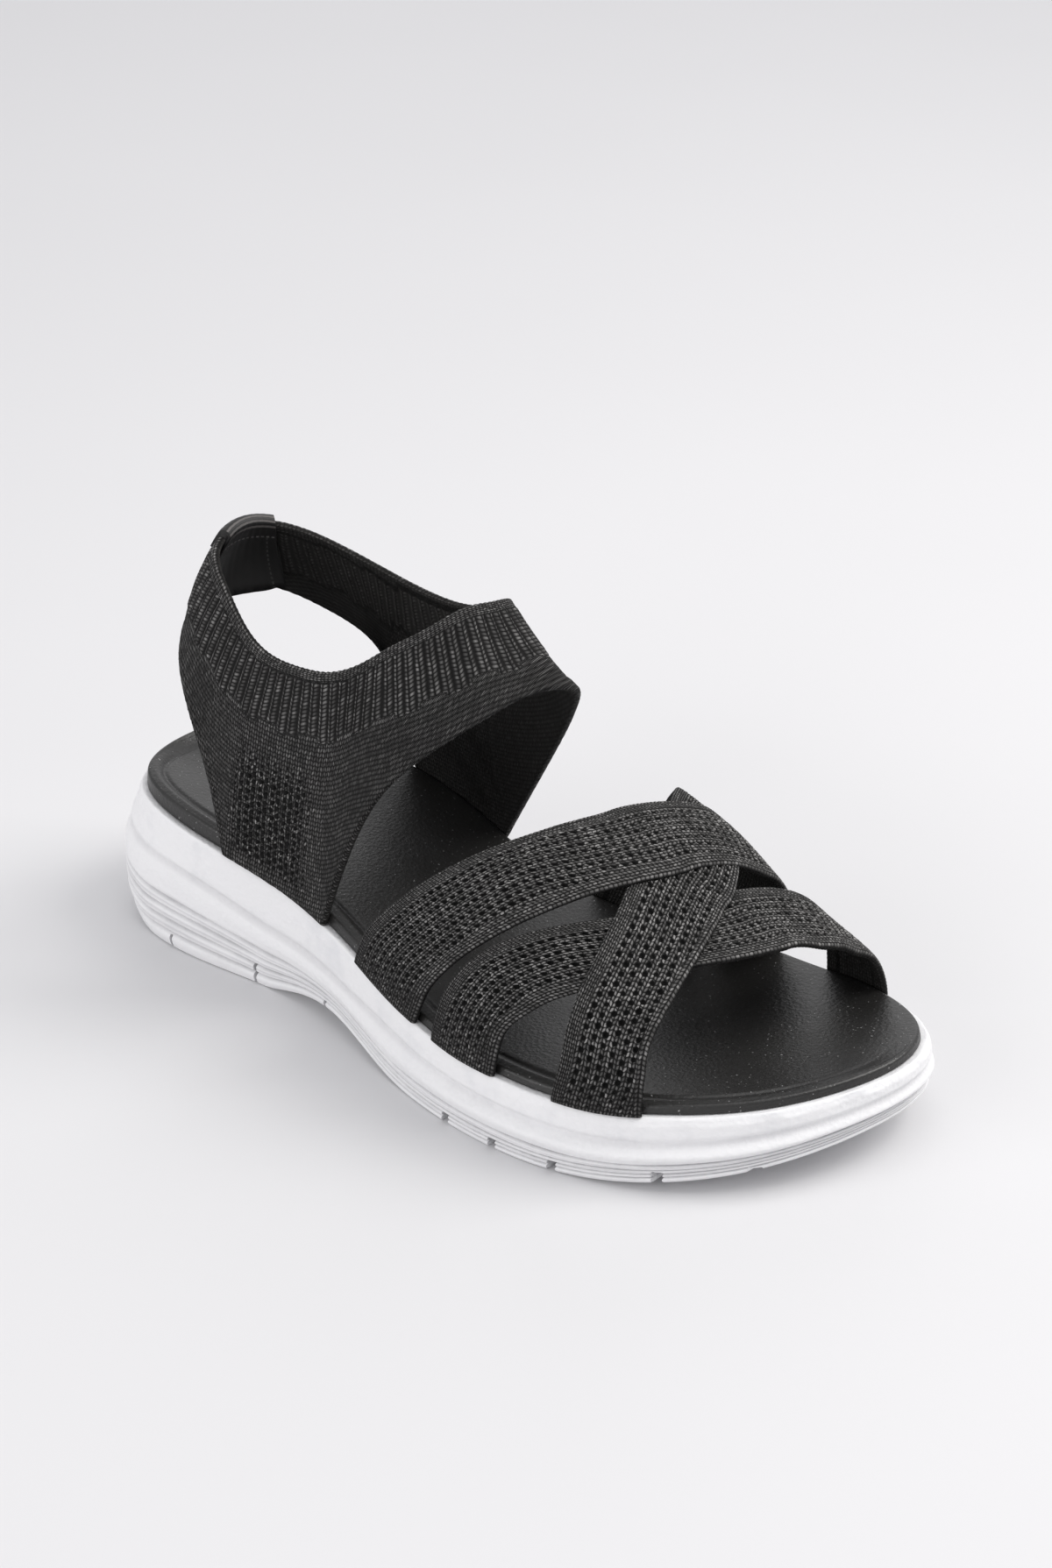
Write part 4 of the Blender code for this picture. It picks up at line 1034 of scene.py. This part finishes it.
def make_footbed(name, material):
    """Wrapped insole with a rounded rim, a pressed line inside it and a shallow dish."""
    lateral, medial = halves(set_off(-FOOTBED_RIM), HALF_COLUMNS)

    def surface(xy):
        x, y = xy[..., 0], xy[..., 1]
        low = np.interp(x, *lateral.T)
        gap = np.maximum(np.interp(x, *medial.T) - low, 1e-5)
        share = clamp((y - low) / gap)
        fade = np.minimum(1.0, gap / (0.45 * HEEL_WIDTH))
        return bed_top(x) - dish_depth(x) * fade * (1 - (2 * share - 1) ** 2) ** 1.5

    rings = []
    for drop_share in (1.0, 0.93, 0.6, 0.3):
        flat = set_off(-BED_LEAN * (1 - drop_share) - (0.0004 if drop_share == 1.0 else 0.0))
        low = seat_height(flat[:, 0]) + CLEARANCE
        high = bed_top(flat[:, 0]) - FOOTBED_RIM
        rings.append(np.column_stack([flat, high + (low - high) * drop_share]))
    for turn in np.linspace(0, 90, 8):
        angle = math.radians(turn)
        flat = set_off(-(BED_LEAN + FOOTBED_RIM * (1 - math.cos(angle))))
        rings.append(np.column_stack([flat, bed_top(flat[:, 0]) - FOOTBED_RIM * (1 - math.sin(angle))]))
    for depth in np.concatenate([np.arange(0.0018, 0.0076, 0.00032), np.arange(0.0080, 0.0104, 0.0009)]):
        flat = set_off(-depth)
        roll, crease = [rise * np.exp(-((depth - inset) / spread) ** 2)
                        for inset, rise, spread in (ROLL_IN, CREASE)]
        groove = (crease - roll) * smooth_step(*CREASE_FADE, flat[:, 1])
        rings.append(np.column_stack([flat, surface(flat) - groove]))
    near, far = halves(rings[-1][:, :2], HALF_COLUMNS)
    faces = band_faces(len(rings))
    steps = 40
    share = np.linspace(0, 1, steps + 1)[1:-1, None]
    base = (len(rings) - 1) * COLUMNS
    total = base + COLUMNS
    grid = []
    for k in range(1, HALF_COLUMNS):
        flat = near[k] + (far[k] - near[k]) * share
        rings.append(np.column_stack([flat, surface(flat)]))
        grid.append([base + k, *range(total, total + steps - 1), base + COLUMNS - k])
        total += steps - 1
    for back, front in zip(grid, grid[1:]):
        faces += [(back[i], front[i], front[i + 1], back[i + 1]) for i in range(steps)]
    for row, tip, turn in ((grid[0], base, 1), (grid[-1], base + HALF_COLUMNS, -1)):
        faces += [(tip, row[i], row[i + 1])[::turn] for i in range(steps)]
    for k in range(HALF_COLUMNS):
        faces.append(tuple(dict.fromkeys((k, -k % COLUMNS, COLUMNS - k - 1, k + 1))))
    return add_mesh(name, np.vstack(rings) - ORIGIN, faces, material)


def patch_path(offset, drop, steps):
    """Section of the folded tape as distances below the rim and offsets from the wall's middle."""
    path = [(drop * share, -offset) for share in np.linspace(1.0, 0.04, steps)]
    path[0] = (drop + PATCH_TAIL, -offset)
    for turn in range(0, 181, 10):
        angle = math.radians(turn)
        path.append((-offset * math.sin(angle), -offset * math.cos(angle)))
    path += [(PATCH_OUTER_DROP * share, offset) for share in np.linspace(0.12, 1.0, 9)]
    return np.array(path)


def make_patch(name, material):
    """Tape that lines the back of the collar inside and is folded over its rim."""
    near = COLLAR_WALL / 2 + PATCH_GAP
    spacing = float(np.linalg.norm(COLLAR_RIM[1] - COLLAR_RIM[0]))
    reach = PATCH_WIDTH / 2 / spacing
    drop = float(np.linalg.norm(COLLAR_HEM[0] - COLLAR_RIM[0]))
    places = np.linspace(-reach, reach, 70)
    rings = []
    marks = []
    widths = (places / reach)[:, None]
    ridge = 0.00003 * np.cos(widths * PATCH_WIDTH * 1000 * math.pi / 2.2)
    for offset, raised in ((near, 0.0), (near + PATCH_WALL, 1.0)):
        path = patch_path(offset, drop, 26)
        travel = -np.cumsum(np.hypot(*np.diff(path, axis=0, prepend=path[:1]).T))
        travel = (travel - travel[25] + path[25, 0]) * 1000
        p, below = np.meshgrid(places, path[:, 0], indexing="ij")
        wall = collar_middle(p, 1.0) - collar_middle(p, 0.0)
        middle, normal = collar_wall(p, below / np.linalg.norm(wall, axis=-1))
        out = path[:, 1][None, :] + raised * np.sign(path[:, 1])[None, :] * ridge
        ring = middle + normal * out[..., None]
        rings.append(ring if raised else ring[:, ::-1])
        along = np.stack([0 * p + travel[None, :], 0 * p + places[:, None] * spacing * 1000, 0 * p], axis=-1)
        marks.append(along if raised else along[:, ::-1])
    points = np.concatenate([rings[0], rings[1]], axis=1)
    marks = np.concatenate([marks[0], marks[1], marks[0][:, :1]], axis=1)
    return tube(name, points, False, material, (("tape", marks),))


def through(rows, per_span):
    """Rows on smooth curves through given rows, with per_span rows on each span."""
    first = 2 * rows[0] - rows[1]
    last = 2 * rows[-1] - rows[-2]
    padded = np.concatenate([first[None], rows, last[None]])
    out = []
    for k in range(len(rows) - 1):
        before, a, b, after = padded[k:k + 4]
        for i in range(per_span):
            t = i / per_span
            out.append(0.5 * (2 * a + (b - before) * t + (2 * before - 5 * a + 4 * b - after) * t * t
                              + (3 * a - before - 3 * b + after) * t ** 3))
    out.append(rows[-1])
    return np.array(out)


def make_sole(name, material):
    """Moulded unit, smooth between the lines of its side, with pressed grooves, crease, seat and tread."""
    plain = np.array([side_line(row) for row in SIDE_LINES])
    rows = through(plain, SIDE_ROWS)
    at = np.arange(len(rows)) / SIDE_ROWS
    relief = np.zeros(len(rows))
    for line, depth, spread in SIDE_RELIEF:
        relief += depth * np.exp(-((at - line) / spread) ** 2)
    along = arc_places(BED) * 1000
    wobble = 0.00010 * np.sin(along * 0.16)[None, :] * np.sin(at * 1.3)[:, None]
    fold = np.clip(relief, -1.0, 0.0)[:, None] * smooth_step(9.5, 10.5, at)[:, None]
    heel_side = ease(STATIONS, FOLD_SHARES, BED_SHARE)
    press = relief[:, None] + fold * (heel_side[None, :] - 1.0) + wobble
    rows[..., :2] += BED_NORMAL[None] * press[..., None]
    lump = 0.00022 * (np.sin(along * 0.55) + np.sin(along * 0.31 + 1.0)) * (1 + 0.4 * np.sin(along * 0.05))
    rows[..., 2] += smooth_step(12.6, 14.0, at)[:, None] * lump[None, :]
    lower = rows[0]
    inner = lower.copy()
    inner[:, :2] -= BED_NORMAL * EDGE_ROUND
    inner[:, 2] = lower_height(inner[:, 0])
    corner = lower.copy()
    corner[:, :2] -= BED_NORMAL * EDGE_ROUND * 0.3
    corner[:, 2] += EDGE_ROUND * 0.1
    lower[:, 2] += EDGE_ROUND * 0.7
    rings = [inner, corner] + list(rows)
    # Painted shade for the foam: deeper where the side is pressed in, none on the lower edge and fainter at the
    # crease; then the share of the upper band, mottled greyer as painted shade
    soften = smooth_step(0.5, 1.5, at) * (1 - 0.62 * smooth_step(9.0, 10.0, at))
    share = np.stack([clamp(-press / 0.0006) * soften[:, None],
                      np.broadcast_to(smooth_step(10.0, 12.0, at)[:, None], press.shape)], axis=-1)
    lip = rows[-1]
    for inset, rise in ((0.25, 0.30), (0.55, 0.42), (0.9, 0.30)):
        flat = set_off(SIDE_FLARE * 0.36 * (1 - inset) + LIP * 0.75 * inset - 0.0002)
        top = seat_height(flat[:, 0])
        rings.append(np.column_stack([flat, np.maximum(lip[:, 2], top - 0.0005) * (1 - inset) + inset * top
                                      + 0.0006 * rise]))
    flat = set_off(LIP * 0.3)
    rings.append(np.column_stack([flat, seat_height(flat[:, 0])]))
    points = np.vstack(rings) - ORIGIN
    faces = band_faces(len(rings))
    for base, turn in ((0, -1), (len(points) - COLUMNS, 1)):
        for k in range(HALF_COLUMNS):
            face = tuple(dict.fromkeys((k, k + 1, COLUMNS - k - 1, -k % COLUMNS)))
            faces.append([base + corner for corner in face[::turn]])
    thing = add_mesh(name, points, faces, material)
    data = np.zeros((len(points), 3))
    data[2 * COLUMNS:2 * COLUMNS + share.shape[0] * COLUMNS, :2] = share.reshape(-1, 2)
    near = KDTree(len(points))
    for index, point in enumerate(points.tolist()):
        near.insert(point, index)
    near.balance()
    cutters = []
    for share, width, depth in TREAD:
        bpy.ops.mesh.primitive_cube_add(size=1.0, location=(share * SOLE_LENGTH - ORIGIN[0], 0.0, 0.0))
        cutter = bpy.context.active_object
        cutter.scale = (width, BALL_WIDTH * 1.6, depth * GROOVE_DEPTH * 2)
        cut = thing.modifiers.new("tread", "BOOLEAN")
        cut.operation = "DIFFERENCE"
        cut.object = cutter
        cutters.append(cutter)
    carved = bpy.data.meshes.new_from_object(thing.evaluated_get(bpy.context.evaluated_depsgraph_get()))
    thing.modifiers.clear()
    thing.data = carved
    where = [near.find(vertex.co)[1] for vertex in carved.vertices]
    carved.attributes.new("press", "FLOAT_VECTOR", "POINT").data.foreach_set("vector", data[where].ravel())
    carved.set_sharp_from_angle(angle=math.radians(50))
    for cutter in cutters:
        bpy.data.objects.remove(cutter)
    return thing


# Lights: name, place, height of the point that each aims at on the part's axis, sizes, power in watts and colour
LIGHTS = (("key", (0.75, 0.65, 1.15), 0.03, (0.9, 0.9), 14.5, (1.0, 0.985, 0.96)),
          ("front", (-0.35, -1.5, 0.70), 0.04, (1.6, 0.9), 10.5, (1.0, 0.99, 0.98)),
          ("behind", (-1.0, 1.3, 0.8), 0.04, (1.8, 0.9), 4.5, (1.0, 0.99, 0.985)),
          ("top", (0.1, 0.1, 1.6), 0.0, (1.0, 1.0), 3.5, (1.0, 0.995, 0.99)))
SKY = (0.97, 0.97, 1.0, 1.0)
SKY_STRENGTH = 0.56
FLOOR_REACH = 6.0
FLOOR_SHADES = ((0.69, 0.688, 0.70), (0.72, 0.718, 0.73))
# Camera: focal length and height of the photograph in its pixels, the camera's place and its three axes
FOCAL_PIXELS = 3500
PHOTO_HEIGHT = 1789
SENSOR = 36.0
CAMERA_PLACE = (0.48450525, -0.5694993, 0.44308103)
CAMERA_AXES = ((0.77313647, 0.63422557, -0.00423422), (-0.27934366, 0.34650523, 0.89548939),
               (0.56940944, -0.6911527, 0.44506273))


def area_light(name, position, aim_height, size, power, colour):
    data = bpy.data.lights.new(name, "AREA")
    data.shape = "RECTANGLE"
    data.size, data.size_y = size
    data.energy = power
    data.color = colour
    lamp = bpy.data.objects.new(name, data)
    lamp.location = position
    way = Vector((0.0, 0.0, aim_height)) - Vector(position)
    lamp.rotation_euler = way.to_track_quat("-Z", "Y").to_euler()
    bpy.context.scene.collection.objects.link(lamp)


def make_studio():
    """Pale sweep, soft light from the upper right and behind, and the camera."""
    made, tree, shader = empty_material("pale_sweep")
    coat(shader, blend_colour(noise(place(tree), 3.0, 2.0), *FLOOR_SHADES), 0.6, 0.2)
    corners = np.array([(-1, -1, 0), (1, -1, 0), (1, 1, 0), (-1, 1, 0)]) * FLOOR_REACH
    add_mesh("studio_floor", corners, [(0, 1, 2, 3)], made)
    world = bpy.data.worlds.new("studio")
    world.use_nodes = True
    sky = world.node_tree.nodes["Background"].inputs
    sky["Color"].default_value = SKY
    sky["Strength"].default_value = SKY_STRENGTH
    scene = bpy.context.scene
    scene.world = world
    scene.view_settings.view_transform = "Standard"
    for light in LIGHTS:
        area_light(*light)
    data = bpy.data.cameras.new("camera")
    data.sensor_fit = "VERTICAL"
    data.sensor_width = SENSOR
    data.sensor_height = SENSOR
    data.lens = FOCAL_PIXELS / PHOTO_HEIGHT * SENSOR
    data.clip_start = 0.01
    data.clip_end = 50.0
    camera = bpy.data.objects.new("camera", data)
    turn = Matrix(CAMERA_AXES).transposed().to_4x4()
    camera.matrix_world = Matrix.Translation(CAMERA_PLACE) @ turn
    scene.collection.objects.link(camera)
    scene.camera = camera


def main():
    make_studio()
    knit = knit_material()
    sole = make_sole("sole_foam", foam_material())
    pieces = [(make_strap(kind + "_knit", kind, knit), "forefoot_straps", "knit") for kind in STRAPS]
    pieces += [(make_collar("collar_knit", knit), "ankle_collar", "knit"),
               (make_footbed("footbed_wrap", leather_material()), "footbed", "footbed"),
               (make_patch("heel_tape", tape_material()), "heel_patch", "lining"),
               (sole, "sole", "sole")]
    for piece, solid, slot in pieces:
        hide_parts(solid)
        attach(piece, "root")


main()
